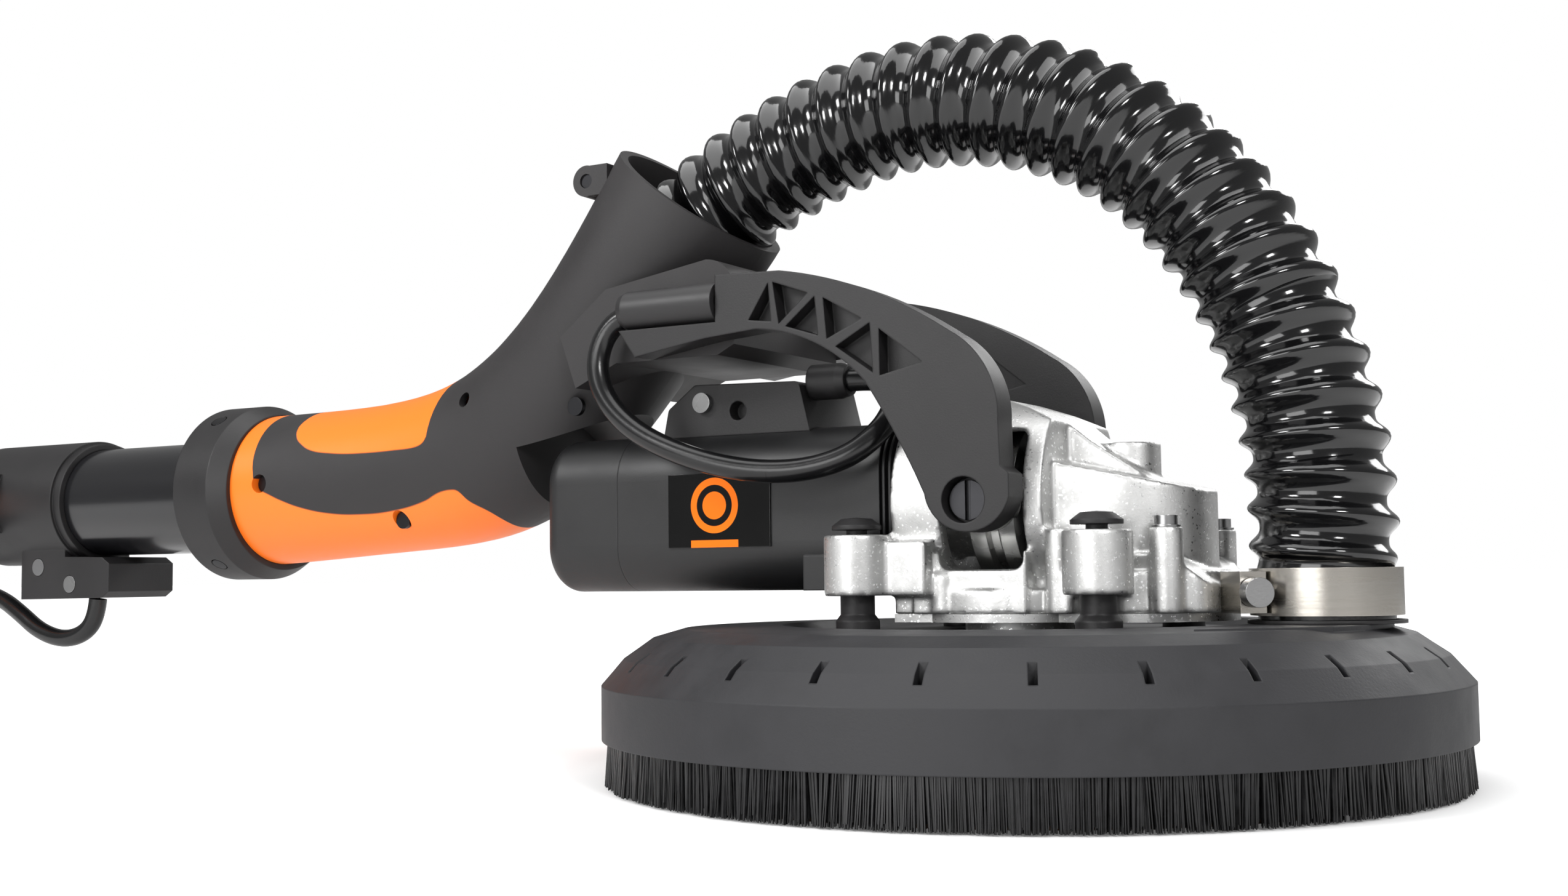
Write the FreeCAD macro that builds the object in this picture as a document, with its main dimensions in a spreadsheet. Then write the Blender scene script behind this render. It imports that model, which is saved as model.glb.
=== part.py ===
import math
import os

import FreeCAD
import Part
import Sketcher
from FreeCAD import Placement, Rotation, Vector

# A long-reach drywall sander: a round sanding head in a two-way gimbal on a fork, a moulded grip,
# a telescoping pole with a rear handle, a floating brush skirt and its dust hose.
# +X is forward, +Z up, millimetres. The origin is on the spindle's axis, at the abrasive's face.

DOCUMENT = FreeCAD.newDocument("PoleSander")
SHEET = DOCUMENT.addObject("Spreadsheet::Sheet", "Sizes")

SIZES = {
    # heights and places of the main axes
    "axis_height": 80.5, "pole_height": 93.0,
    # sanding pad
    "pad_radius": 112.5, "abrasive_thick": 1.0, "foam_thick": 10.0, "backing_thick": 4.0,
    "pad_hole_radius": 13.0, "spindle_radius": 6.0,
    # floating skirt
    "skirt_radius": 125.0, "rim_bottom": 13.5, "rim_height": 15.5, "deck_height": 43.2,
    "deck_rise": 2.3, "deck_radius": 110.0, "plateau_radius": 68.0, "skirt_wall": 3.0,
    "rim_wall": 5.5, "skirt_bore_radius": 22.0, "vent_count": 28, "vent_width": 2.2, "vent_turn": -2.4,
    "brush_width": 2.4, "brush_strip_height": 4.8, "float_down": 1.5,
    # posts and springs that carry the skirt
    "post_pitch": 73.2, "boss_radius": 9.6, "boss_bottom": 54.0, "boss_top": 71.5,
    "spring_bore_radius": 6.6, "post_pin_radius": 3.0, "post_cap_radius": 7.2,
    # gear housing
    "base_bottom": 46.2, "base_plate_thick": 2.4, "arch_radius": 32.4, "arch_wall": 4.9,
    "bay_rear": -21.0, "bay_front": 13.0, "bay_floor": 55.4, "flange_thick": 7.0,
    "neck_radius": 15.4, "neck_bore_radius": 11.0, "window_height": 40.0, "gear_distance": 34.0,
    "lay_case_radius": 24.0, "lay_boss_radius": 8.5, "lay_boss_top": 97.0, "head_width": 46.0,
    "bearing_boss_radius": 17.5, "bearing_boss_bottom": 27.0,
    # gimbal
    "slip_ring_wall": 2.5, "ring_radius": 24.4, "ring_width": 14.0, "pivot_boss_radius": 8.5,
    "pivot_bore_radius": 4.0, "screw_sink": 6.0, "arm_gap": 0.5, "arm_thick": 10.0,
    # motor
    "motor_width": 54.0, "motor_height": 50.0, "motor_corner": 15.0, "motor_front": -28.0,
    "motor_seam": -128.0, "motor_rear": -158.0, "motor_wall": 2.2, "shaft_radius": 4.0,
    "core_radius": 15.5, "stator_gap": 0.8,
    # pole, grip and clamp
    "front_tube_radius": 21.5, "rear_tube_radius": 17.5, "rear_tube_wall": 1.6,
    "collar_radius": 33.0, "collar_rear": -330.0, "collar_front": -301.0,
    "front_tube_front": -242.0, "front_tube_rear": -465.0, "grip_wall": 3.0,
    "clamp_radius": 25.0, "clamp_front": -404.0,
    # rear handle
    "handle_front": -690.0, "handle_width": 44.0, "handle_rear": -1004.0, "outlet_length": 36.0,
    "outlet_bore_radius": 15.0,
    # hose and cables
    "hose_radius": 19.5, "hose_wall": 3.6, "cable_radius": 3.5, "curl_radius": 8.0,
    "spout_x": 88.3, "spout_wall": 2.6, "band_height": 12.8, "band_thick": 0.7,
    # fits
    "running": 0.08,
}
for row, (alias, value) in enumerate(SIZES.items(), start=1):
    SHEET.set("A%d" % row, alias)
    SHEET.set("B%d" % row, "%.9g" % value)
    SHEET.setAlias("B%d" % row, alias)
DOCUMENT.recompute()


class Size:
    """A length: its value, and the sheet expression that a property is bound to."""

    def __init__(self, value, text):
        self.value = float(value)
        self.text = text

    @staticmethod
    def of(other):
        return other if isinstance(other, Size) else Size(other, "(%.9g)" % other)

    def __float__(self):
        return self.value

    def __add__(self, other):
        other = Size.of(other)
        return Size(self.value + other.value, "(%s + %s)" % (self.text, other.text))

    def __sub__(self, other):
        other = Size.of(other)
        return Size(self.value - other.value, "(%s - %s)" % (self.text, other.text))

    def __mul__(self, other):
        other = Size.of(other)
        return Size(self.value * other.value, "(%s * %s)" % (self.text, other.text))

    def __truediv__(self, other):
        other = Size.of(other)
        return Size(self.value / other.value, "(%s / %s)" % (self.text, other.text))

    def __radd__(self, other):
        return Size.of(other) + self

    def __rsub__(self, other):
        return Size.of(other) - self

    def __rmul__(self, other):
        return Size.of(other) * self

    def __neg__(self):
        return Size.of(0) - self


class Sheet:
    """Reads the spreadsheet's cells by name."""

    def __getattr__(self, alias):
        return Size(getattr(SHEET, alias), "Sizes." + alias)


S = Sheet()
TURNS = {"X": Rotation(Vector(0, 1, 0), 90), "Y": Rotation(Vector(1, 0, 0), -90), "Z": Rotation()}
SUB_PARTS = []
TINY = 0.01


# ---------------------------------------------------------------- building blocks

def bind(thing, prop, size):
    """Set a property and tie it to the sheet."""
    if prop.startswith("Placement.Base."):
        base = thing.Placement.Base
        setattr(base, prop[-1], float(size))
        thing.Placement.Base = base
    else:
        setattr(thing, prop, float(size))
    if isinstance(size, Size):
        thing.setExpression(prop, size.text)


def put(thing, at=(0, 0, 0), axis="Z", spin=0.0):
    """Place a primitive: its own Z goes along the named axis, after a turn about itself."""
    thing.Placement = Placement(Vector(0, 0, 0), TURNS[axis] * Rotation(Vector(0, 0, 1), spin))
    for letter, value in zip("xyz", at):
        bind(thing, "Placement.Base." + letter, value)
    return thing


def rod(name, radius, length, at=(0, 0, 0), axis="Z"):
    thing = DOCUMENT.addObject("Part::Cylinder", name)
    bind(thing, "Radius", radius)
    bind(thing, "Height", length)
    return put(thing, at, axis)


def block(name, low, high):
    """A box between two opposite corners."""
    thing = DOCUMENT.addObject("Part::Box", name)
    for prop, start, end in zip(("Length", "Width", "Height"), low, high):
        bind(thing, prop, Size.of(end) - start)
    return put(thing, low)


def join(name, *pieces):
    thing = DOCUMENT.addObject("Part::MultiFuse", name)
    thing.Shapes = list(pieces)
    thing.Refine = True
    return thing


def cut(name, base, *tools):
    thing = DOCUMENT.addObject("Part::Cut", name)
    thing.Base = base
    thing.Tool = tools[0] if len(tools) == 1 else join(name + "_tools", *tools)
    thing.Refine = True
    return thing


def common(name, base, tool):
    thing = DOCUMENT.addObject("Part::Common", name)
    thing.Base = base
    thing.Tool = tool
    thing.Refine = True
    return thing


def rounded(name, base, radius, picks):
    """Fillet the edges whose middle and direction the picking function accepts."""
    DOCUMENT.recompute()
    thing = DOCUMENT.addObject("Part::Fillet", name)
    thing.Base = base
    edges = []
    for number, edge in enumerate(base.Shape.Edges, start=1):
        middle = edge.valueAt((edge.FirstParameter + edge.LastParameter) / 2)
        along = edge.tangentAt((edge.FirstParameter + edge.LastParameter) / 2)
        if picks(middle, along):
            edges.append((number, float(radius), float(radius)))
    thing.Edges = edges
    return thing


def shape_part(name, shape):
    """A piece whose form neither a sketch nor a primitive gives."""
    thing = DOCUMENT.addObject("Part::Feature", name)
    thing.Shape = shape
    return thing


def plane_of(body, role):
    return next(item for item in body.Origin.OriginFeatures if item.Role == role)


def sketch(body, name, role, outline):
    """A closed outline of straight edges, each corner tied to the sheet."""
    drawn = body.newObject("Sketcher::SketchObject", name)
    drawn.AttachmentSupport = (plane_of(body, role), "")
    drawn.MapMode = "FlatFace"
    corners = [Vector(float(across), float(up), 0) for across, up in outline]
    count = len(corners)
    drawn.addGeometry([Part.LineSegment(corners[i], corners[(i + 1) % count]) for i in range(count)], False)
    for i in range(count):
        drawn.addConstraint(Sketcher.Constraint("Coincident", i, 2, (i + 1) % count, 1))
    for i, corner in enumerate(outline):
        for kind, line, value in zip(("DistanceX", "DistanceY"), (-2, -1), corner):
            if not isinstance(value, Size) and value == 0:
                drawn.addConstraint(Sketcher.Constraint("PointOnObject", i, 1, line))
                continue
            held = drawn.addConstraint(Sketcher.Constraint(kind, -1, 1, i, 1, float(value)))
            if isinstance(value, Size):
                drawn.setExpression("Constraints[%d]" % held, value.text)
    return drawn


def turned(name, outline, at=(0, 0, 0), axis="Z"):
    """A body turned about its own Z from an outline of (radius, height) corners."""
    body = DOCUMENT.addObject("PartDesign::Body", name)
    drawn = sketch(body, name + "_profile", "XZ_Plane", outline)
    feature = body.newObject("PartDesign::Revolution", name + "_turn")
    feature.Profile = drawn
    feature.ReferenceAxis = (drawn, ["V_Axis"])
    feature.Angle = 360
    return put(body, at, axis)


def tube(name, outer, inner, length, at=(0, 0, 0), axis="Z"):
    return turned(name, [(inner, 0), (outer, 0), (outer, length), (inner, length)], at, axis)


def padded(name, role, outline, thick, at=(0, 0, 0)):
    """A body padded equally to both sides of its plane."""
    body = DOCUMENT.addObject("PartDesign::Body", name)
    drawn = sketch(body, name + "_profile", role, outline)
    feature = body.newObject("PartDesign::Pad", name + "_pad")
    feature.Profile = drawn
    feature.SideType = "Symmetric"
    bind(feature, "Length", thick)
    return put(body, at)


def around(name, piece, count, start=0.0, sweep=360.0, centre=(0, 0), axis=Vector(0, 0, 1)):
    """Copies of a piece turned about an axis through a centre, as one set."""
    DOCUMENT.recompute()
    copies = []
    for i in range(count):
        copy = piece.Shape.copy()
        copy.rotate(Vector(centre[0], centre[1], 0), axis, start + i * sweep / count)
        copies.append(copy)
    return shape_part(name, Part.makeCompound(copies))


def sub_part(name, thing):
    """Name a finished piece: its label is its file's name."""
    thing.Label = name
    SUB_PARTS.append(thing)
    return thing


def arc_wire(start, *moves):
    """A closed wire of straight edges (a point) and arcs (a middle point and an end point)."""
    edges = []
    here = Vector(*start)
    for move in moves:
        if isinstance(move[0], tuple):
            middle, end = Vector(*move[0]), Vector(*move[1])
            edges.append(Part.Arc(here, middle, end).toShape())
        else:
            end = Vector(*move)
            edges.append(Part.LineSegment(here, end).toShape())
        here = end
    first = Vector(*start)
    if here.distanceToPoint(first) > TINY:
        edges.append(Part.LineSegment(here, first).toShape())
    return Part.Wire(edges)


def side_wire(y, *points):
    """An outline drawn in the XZ plane at the given y, from (x, z) points and arcs."""
    def lift(point):
        return (float(point[0]), float(y), float(point[1]))
    moves = [tuple(lift(p) for p in move) if isinstance(move[0], tuple) else lift(move) for move in points[1:]]
    return arc_wire(lift(points[0]), *moves)


def slab(wire, depth):
    """The wire's face pushed along Y."""
    return Part.Face(wire).extrude(Vector(0, float(depth), 0))


# ---------------------------------------------------------------- cords and hose

def bent_path(points, label):
    """Straight runs joined by tangent arcs, through a route's points."""
    points = [Vector(*[float(value) for value in point]) for point in points]
    edges, here, radii = [], points[0], []
    for before, corner, after in zip(points, points[1:], points[2:]):
        back, ahead = before - corner, after - corner
        turn = math.pi - back.getAngle(ahead)
        radius = 0.45 * min(back.Length, ahead.Length) / math.tan(turn / 2)
        radii.append(radius)
        reach = radius * math.tan(turn / 2)
        start = corner + back.normalize() * reach
        end = corner + ahead.normalize() * reach
        inward = (back + ahead).normalize()
        middle = corner + inward * (radius / math.cos(turn / 2) - radius)
        edges.append(Part.LineSegment(here, start).toShape())
        edges.append(Part.Arc(start, middle, end).toShape())
        here = end
    edges.append(Part.LineSegment(here, points[-1]).toShape())
    print(label, "bend radii", " ".join("%.0f" % radius for radius in radii))
    return Part.Wire(edges)


def swept(path, radius):
    first = path.Edges[0]
    ring = Part.Wire(Part.makeCircle(float(radius), first.valueAt(first.FirstParameter), first.tangentAt(0)))
    return path.makePipeShell([ring], True, False)


def cord_solid(name, points, radius, bore=0.0):
    """A cord's tube along its route; its volume is checked against section times length."""
    path = bent_path(points, name)
    solid = swept(path, radius)
    area = math.pi * float(radius) ** 2
    if float(bore) > 0:
        solid = solid.cut(swept(path, bore))
        area -= math.pi * float(bore) ** 2
    share = solid.Volume / (area * path.Length)
    print(name, "length %.1f volume share %.4f" % (path.Length, share))
    if abs(share - 1) > 0.01:
        raise ValueError(name + ": the tube's volume is off")
    return sub_part(name, shape_part(name, solid))


HOSE_ROUTE = [
    (-126, 0, 165), (-110, 0, 178.5), (-89, 0, 190.5), (-62, 0, 201), (-33, 0, 206.5), (-4, 0, 203.7),
    (22, 0, 194.5), (44, 0, 179.5), (61, 0, 160.5), (74, 0, 138.5), (83, 0, 114.5), (87.6, 0, 90),
    (88.3, 0, 67.5), (88.3, 0, 46.6),
]
YOKE_CABLE_ROUTE = [
    (-104, -39.2, 143), (-115, -39.4, 142.5), (-123, -40.5, 136.5), (-125.5, -41.8, 126), (-121, -42.8, 114.5),
    (-109, -43, 104), (-92, -42.5, 96.5), (-73, -41, 91.5), (-55, -38.8, 90.5), (-40, -35.6, 94),
    (-31.5, -31, 101.5), (-30, -24, 109), (-34, -14, 116.5), (-42, -10, 120), (-52, -10, 120),
]
POLE_CABLE_ROUTE = [
    (-398, -6, 54), (-399, -6, 46), (-406, -6.5, 39.5), (-418, -7, 37.5), (-432, -7, 41), (-445, -6, 48),
    (-459, -4, 54), (-476, -2, 57.5), (-494, 0, 58),
]
CURLY_CABLE_ROUTE = [
    (-494, 0, 58), (-540, 0, 57), (-592, 0, 56), (-644, 0, 57), (-690, 0, 59),
]


# ---------------------------------------------------------------- sanding pad and spindle

def make_pad():
    backing_top = S.abrasive_thick + S.foam_thick + S.backing_thick
    disc = rod("abrasive_blank", S.pad_radius, S.abrasive_thick)
    foam = tube("foam_blank", S.pad_radius, S.pad_hole_radius, S.foam_thick, (0, 0, S.abrasive_thick))
    hole = rod("dust_hole", 5.0, 14.0, (62, 0, -1))
    holes = around("dust_holes", hole, 8, 22.5)
    sub_part("abrasive_disc", cut("abrasive", disc, holes))
    sub_part("foam_pad", cut("foam", foam, holes))
    plate_bottom = S.abrasive_thick + S.foam_thick
    plate = turned("backing_body", [
        (S.spindle_radius, plate_bottom), (S.pad_radius - 3, plate_bottom),
        (S.pad_radius - 3, plate_bottom + 2),
        (30, backing_top), (16, backing_top + 5), (S.spindle_radius, backing_top + 5)])
    plate_hole = rod("plate_dust_hole", 6.0, 12.0, (62, 0, 8))
    sub_part("backing_plate", cut("backing", plate, around("plate_dust_holes", plate_hole, 8, 22.5)))
    sub_part("pad_screw", turned("pad_screw_body", [
        (0, plate_bottom - 7), (8, plate_bottom - 7), (8, plate_bottom - 2),
        (S.pad_hole_radius - 1, plate_bottom - 2),
        (S.pad_hole_radius - 1, plate_bottom), (0, plate_bottom)]))
    return plate_bottom


def spur_shape(teeth, module, width, tip, foot):
    """A straight-toothed wheel about Z: four corners a tooth, tip and foot as tooth thicknesses."""
    pitch, corners = teeth * module / 2, []
    for i in range(teeth):
        middle = 2 * math.pi * i / teeth
        for radius, half in ((pitch - 1.25 * module, -foot / 2), (pitch + 0.9 * module, -tip / 2),
                             (pitch + 0.9 * module, tip / 2), (pitch - 1.25 * module, foot / 2)):
            angle = middle + half / radius
            corners.append(Vector(radius * math.cos(angle), radius * math.sin(angle), 0))
    return Part.Face(Part.makePolygon(corners + corners[:1])).extrude(Vector(0, 0, width))


def make_gears():
    """Spindle, lay shaft and crown wheel; the armature's pinion meshes with the crown."""
    plate_bottom = S.abrasive_thick + S.foam_thick
    gear_bottom = S.base_bottom + S.base_plate_thick + 0.6
    top = gear_bottom + 5.0
    teeth, small_teeth, module = 54, 14, float(S.gear_distance) / 34
    spindle = turned("spindle_body", [
        (0, plate_bottom), (S.spindle_radius, plate_bottom), (S.spindle_radius, top), (0, top)])
    sub_part("spindle", spindle)
    wheel = spur_shape(teeth, module, 5.0, 0.6, 1.75)
    wheel.translate(Vector(0, 0, float(gear_bottom)))
    sub_part("spindle_gear", cut("spindle_gear_cut", shape_part("spindle_gear_blank", wheel),
                                 rod("spindle_gear_bore", S.spindle_radius, 20, (0, 0, gear_bottom - 5))))
    # the lay shaft's first tooth stands in the space between two teeth of the wheel
    small = spur_shape(small_teeth, module, 5.0, 0.6, 1.75)
    small.rotate(Vector(0, 0, 0), Vector(0, 0, 1), 180 + 180 / small_teeth)
    small.translate(Vector(float(S.gear_distance), 0, float(gear_bottom)))
    shaft = rod("lay_rod", S.shaft_radius, S.lay_boss_top - 4 - S.base_bottom - 1,
                (S.gear_distance, 0, S.base_bottom + 1))
    sub_part("lay_shaft", join("lay_shaft_join", shaft, shape_part("lay_pinion", small)))
    # crown wheel: 35 radial teeth on a disc, at the armature pinion's pitch height
    crown_top = S.axis_height - 5.0 - 1.25
    disc = tube("crown_disc", 20.0, S.shaft_radius, 7.0, (S.gear_distance, 0, crown_top - 7.0))
    tooth = Part.Face(Part.makePolygon([Vector(0, y, z) for y, z in (
        (-0.75, -0.5), (0.75, -0.5), (0.62, 0), (0.3, 2.1), (-0.3, 2.1), (-0.62, 0), (-0.75, -0.5))]))
    tooth = tooth.extrude(Vector(5.0, 0, 0))
    tooth.translate(Vector(-19.8, 0, float(crown_top)))
    tooth.rotate(Vector(0, 0, 0), Vector(0, 0, 1), 180 / 35)
    tooth.translate(Vector(float(S.gear_distance), 0, 0))
    set_of_teeth = around("crown_teeth", shape_part("crown_tooth", tooth), 35, 0, 360,
                          (float(S.gear_distance), 0))
    sub_part("crown_gear", join("crown_gear_join", disc, set_of_teeth))


# ---------------------------------------------------------------- floating skirt

def corner_set(name, piece):
    """A piece made at the front left post, copied to the four posts."""
    DOCUMENT.recompute()
    half = float(S.post_pitch) / 2
    shapes = []
    for x in (-half, half):
        for y in (-half, half):
            copy = piece.Shape.copy()
            copy.translate(Vector(x, y, 0))
            shapes.append(copy)
    return shape_part(name, Part.makeCompound(shapes))


def make_skirt():
    rim_top = S.rim_bottom + S.rim_height
    deck = S.deck_height
    outer = S.skirt_radius
    slot_in = outer - S.rim_wall / 2 - S.brush_width / 2 - 0.3
    slot_out = slot_in + S.brush_width + 0.2
    slot_top = S.rim_bottom + S.brush_strip_height + 0.1
    shell = turned("skirt_body", [
        (S.skirt_bore_radius, deck - S.skirt_wall), (S.deck_radius - 8, deck - S.skirt_wall),
        (outer - S.rim_wall - 3, deck - 12), (outer - S.rim_wall, rim_top - 2),
        (outer - S.rim_wall, S.rim_bottom),
        (slot_in, S.rim_bottom), (slot_in, slot_top), (slot_out, slot_top), (slot_out, S.rim_bottom),
        (outer, S.rim_bottom), (outer, rim_top), (outer - 6.5, rim_top + 7.5), (S.deck_radius, deck - 0.8),
        (S.deck_radius - 9, deck + S.deck_rise - 0.6), (S.plateau_radius + 4, deck + S.deck_rise),
        (S.plateau_radius, deck), (S.skirt_bore_radius, deck)])
    # short radial vents through the chamfer
    vent = shell.newObject("Sketcher::SketchObject", "vent_profile")
    vent.AttachmentSupport = (plane_of(shell, "XY_Plane"), "")
    vent.MapMode = "FlatFace"
    vent.AttachmentOffset = Placement(Vector(0, 0, 60), Rotation(Vector(0, 0, 1), float(S.vent_turn)))
    inner, far, half = float(outer) - 10.5, float(outer) - 4.5, float(S.vent_width) / 2
    box = [(inner, -half), (far, -half), (far, half), (inner, half)]
    vent.addGeometry([Part.LineSegment(Vector(*box[i], 0), Vector(*box[(i + 1) % 4], 0)) for i in range(4)],
                     False)
    for i in range(4):
        vent.addConstraint(Sketcher.Constraint("Coincident", i, 2, (i + 1) % 4, 1))
    for i, (kind, size) in enumerate((("DistanceX", outer - 10.5), ("DistanceX", outer - 4.5),
                                      ("DistanceX", outer - 4.5), ("DistanceX", outer - 10.5))):
        held = vent.addConstraint(Sketcher.Constraint(kind, -1, 1, i, 1, float(size)))
        vent.setExpression("Constraints[%d]" % held, size.text)
        side = S.vent_width / (-2 if i < 2 else 2)
        held = vent.addConstraint(Sketcher.Constraint("DistanceY", -1, 1, i, 1, float(side)))
        vent.setExpression("Constraints[%d]" % held, side.text)
    DOCUMENT.recompute()
    whole = shell.Shape.Volume
    pocket = shell.newObject("PartDesign::Pocket", "vent_pocket")
    pocket.Profile = vent
    pocket.Length = 33
    pattern = shell.newObject("PartDesign::PolarPattern", "vent_pattern")
    pattern.Originals = [pocket]
    pattern.Axis = (plane_of(shell, "Z_Axis"), [""])
    pattern.Angle = 360
    pattern.Occurrences = int(float(S.vent_count))
    shell.Tip = pattern
    DOCUMENT.recompute()
    if shell.Shape.Volume > whole - 100:
        raise ValueError("the skirt's vents cut nothing")
    # raised dust duct over the front, with a stepped edge
    duct = shape_part("duct_blank", Part.Face(arc_wire(
        (70, 60, 40), (98, 34, 40), ((104, 0, 40), (98, -34, 40)), (70, -60, 40))).extrude(
            Vector(0, 0, float(deck + S.deck_rise) - 40.0)))
    duct_keep = common("duct_keep", duct, turned("duct_limit", [
        (S.plateau_radius + 2, 30), (S.deck_radius - 2, 30), (S.deck_radius - 2, 50),
        (S.plateau_radius + 2, 50)]))
    spout_bore = S.hose_radius - S.hose_wall - S.running - S.spout_wall
    spout_hole = rod("spout_hole", spout_bore, 30, (S.spout_x, 0, 30))
    post_hole = corner_set("post_screw_holes", rod("post_screw_hole", 1.6, 12, (0, 0, 36)))
    sub_part("skirt_shell", cut("skirt_cut", join("skirt_join", shell, duct_keep), spout_hole, post_hole))
    middle = outer - S.rim_wall / 2 - 0.2
    low, high = middle - S.brush_width / 2, middle + S.brush_width / 2
    sub_part("brush_strip", turned("brush_strip_body", [
        (low, S.rim_bottom), (high, S.rim_bottom), (high, slot_top - 0.1), (low, slot_top - 0.1)]))
    sub_part("brush_bristles", turned("brush_bristle_body", [
        (low + 0.1, 0), (high - 0.1, 0), (high - 0.1, S.rim_bottom), (low + 0.1, S.rim_bottom)]))


def make_posts():
    """Four posts on the skirt's deck; springs round their pins sit inside the housing's bosses."""
    deck, boss_top = S.deck_height, S.boss_top
    shoulder = S.boss_bottom + 2.0
    roof = boss_top - 2.5
    body = turned("post_body", [
        (0, deck), (6.4, deck), (6.4, deck + 3.6), (5.0, deck + 5.4), (5.0, shoulder),
        (S.post_pin_radius, shoulder),
        (S.post_pin_radius, boss_top + S.float_down), (0, boss_top + S.float_down)])
    sub_part("skirt_posts", corner_set("skirt_post_set", body))
    cap = turned("post_cap_body", [
        (0, boss_top + S.float_down), (S.post_cap_radius, boss_top + S.float_down),
        (S.post_cap_radius, boss_top + S.float_down + 1.2), (4.5, boss_top + S.float_down + 3.2),
        (0, boss_top + S.float_down + 3.6)])
    sub_part("post_caps", corner_set("post_cap_set", cap))
    spring = tube("spring_body", S.spring_bore_radius - 0.5, S.post_pin_radius + 0.6, roof - shoulder - 0.2,
                  (0, 0, shoulder + 0.1))
    sub_part("skirt_springs", corner_set("spring_set", spring))


def make_spout():
    deck_top = S.deck_height + S.deck_rise
    inner = S.hose_radius - S.hose_wall - S.running
    sub_part("dust_spout", turned("spout_body", [
        (inner - S.spout_wall, deck_top), (S.hose_radius + 1.5, deck_top),
        (S.hose_radius + 1.5, deck_top + 1.0),
        (inner, deck_top + 1.0), (inner, deck_top + 11.5), (inner - S.spout_wall, deck_top + 11.5)],
        (S.spout_x, 0, 0)))
    band_low = deck_top + 2.2
    band_in = S.hose_radius + S.running
    band = tube("band_tube", band_in + S.band_thick, band_in, S.band_height, (0, 0, band_low))
    # worm housing beside the band, with the screw through it along the band's tangent
    middle = band_low + S.band_height / 2
    reach = band_in + S.band_thick
    housing = block("worm_block", (-7, -1 * (reach + 7.0), middle - 5.6), (7, -1 * (reach - 0.3), middle + 5.6))
    worm_y = -1 * (reach + 3.6)
    worm_bore = rod("worm_bore", 3.1, 30, (-15, worm_y, middle), "X")
    screw = join("worm_join", rod("worm_rod", 2.6, 16, (-7.5, worm_y, middle), "X"),
                 rod("worm_head", 4.0, 4.5, (7.6, worm_y, middle), "X"))
    inside = rod("band_inside", band_in, 60, (0, 0, S.deck_height))
    worm = cut("worm_housing", housing, worm_bore, inside)
    for name, thing in (("hose_band", join("band_join", band, worm)), ("band_screw", screw)):
        DOCUMENT.recompute()
        shape = thing.Shape.copy()
        shape.rotate(Vector(0, 0, 0), Vector(0, 0, 1), -52)
        shape.translate(Vector(float(S.spout_x), 0, 0))
        sub_part(name, shape_part(name + "_placed", shape))


# ---------------------------------------------------------------- gear housing

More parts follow.
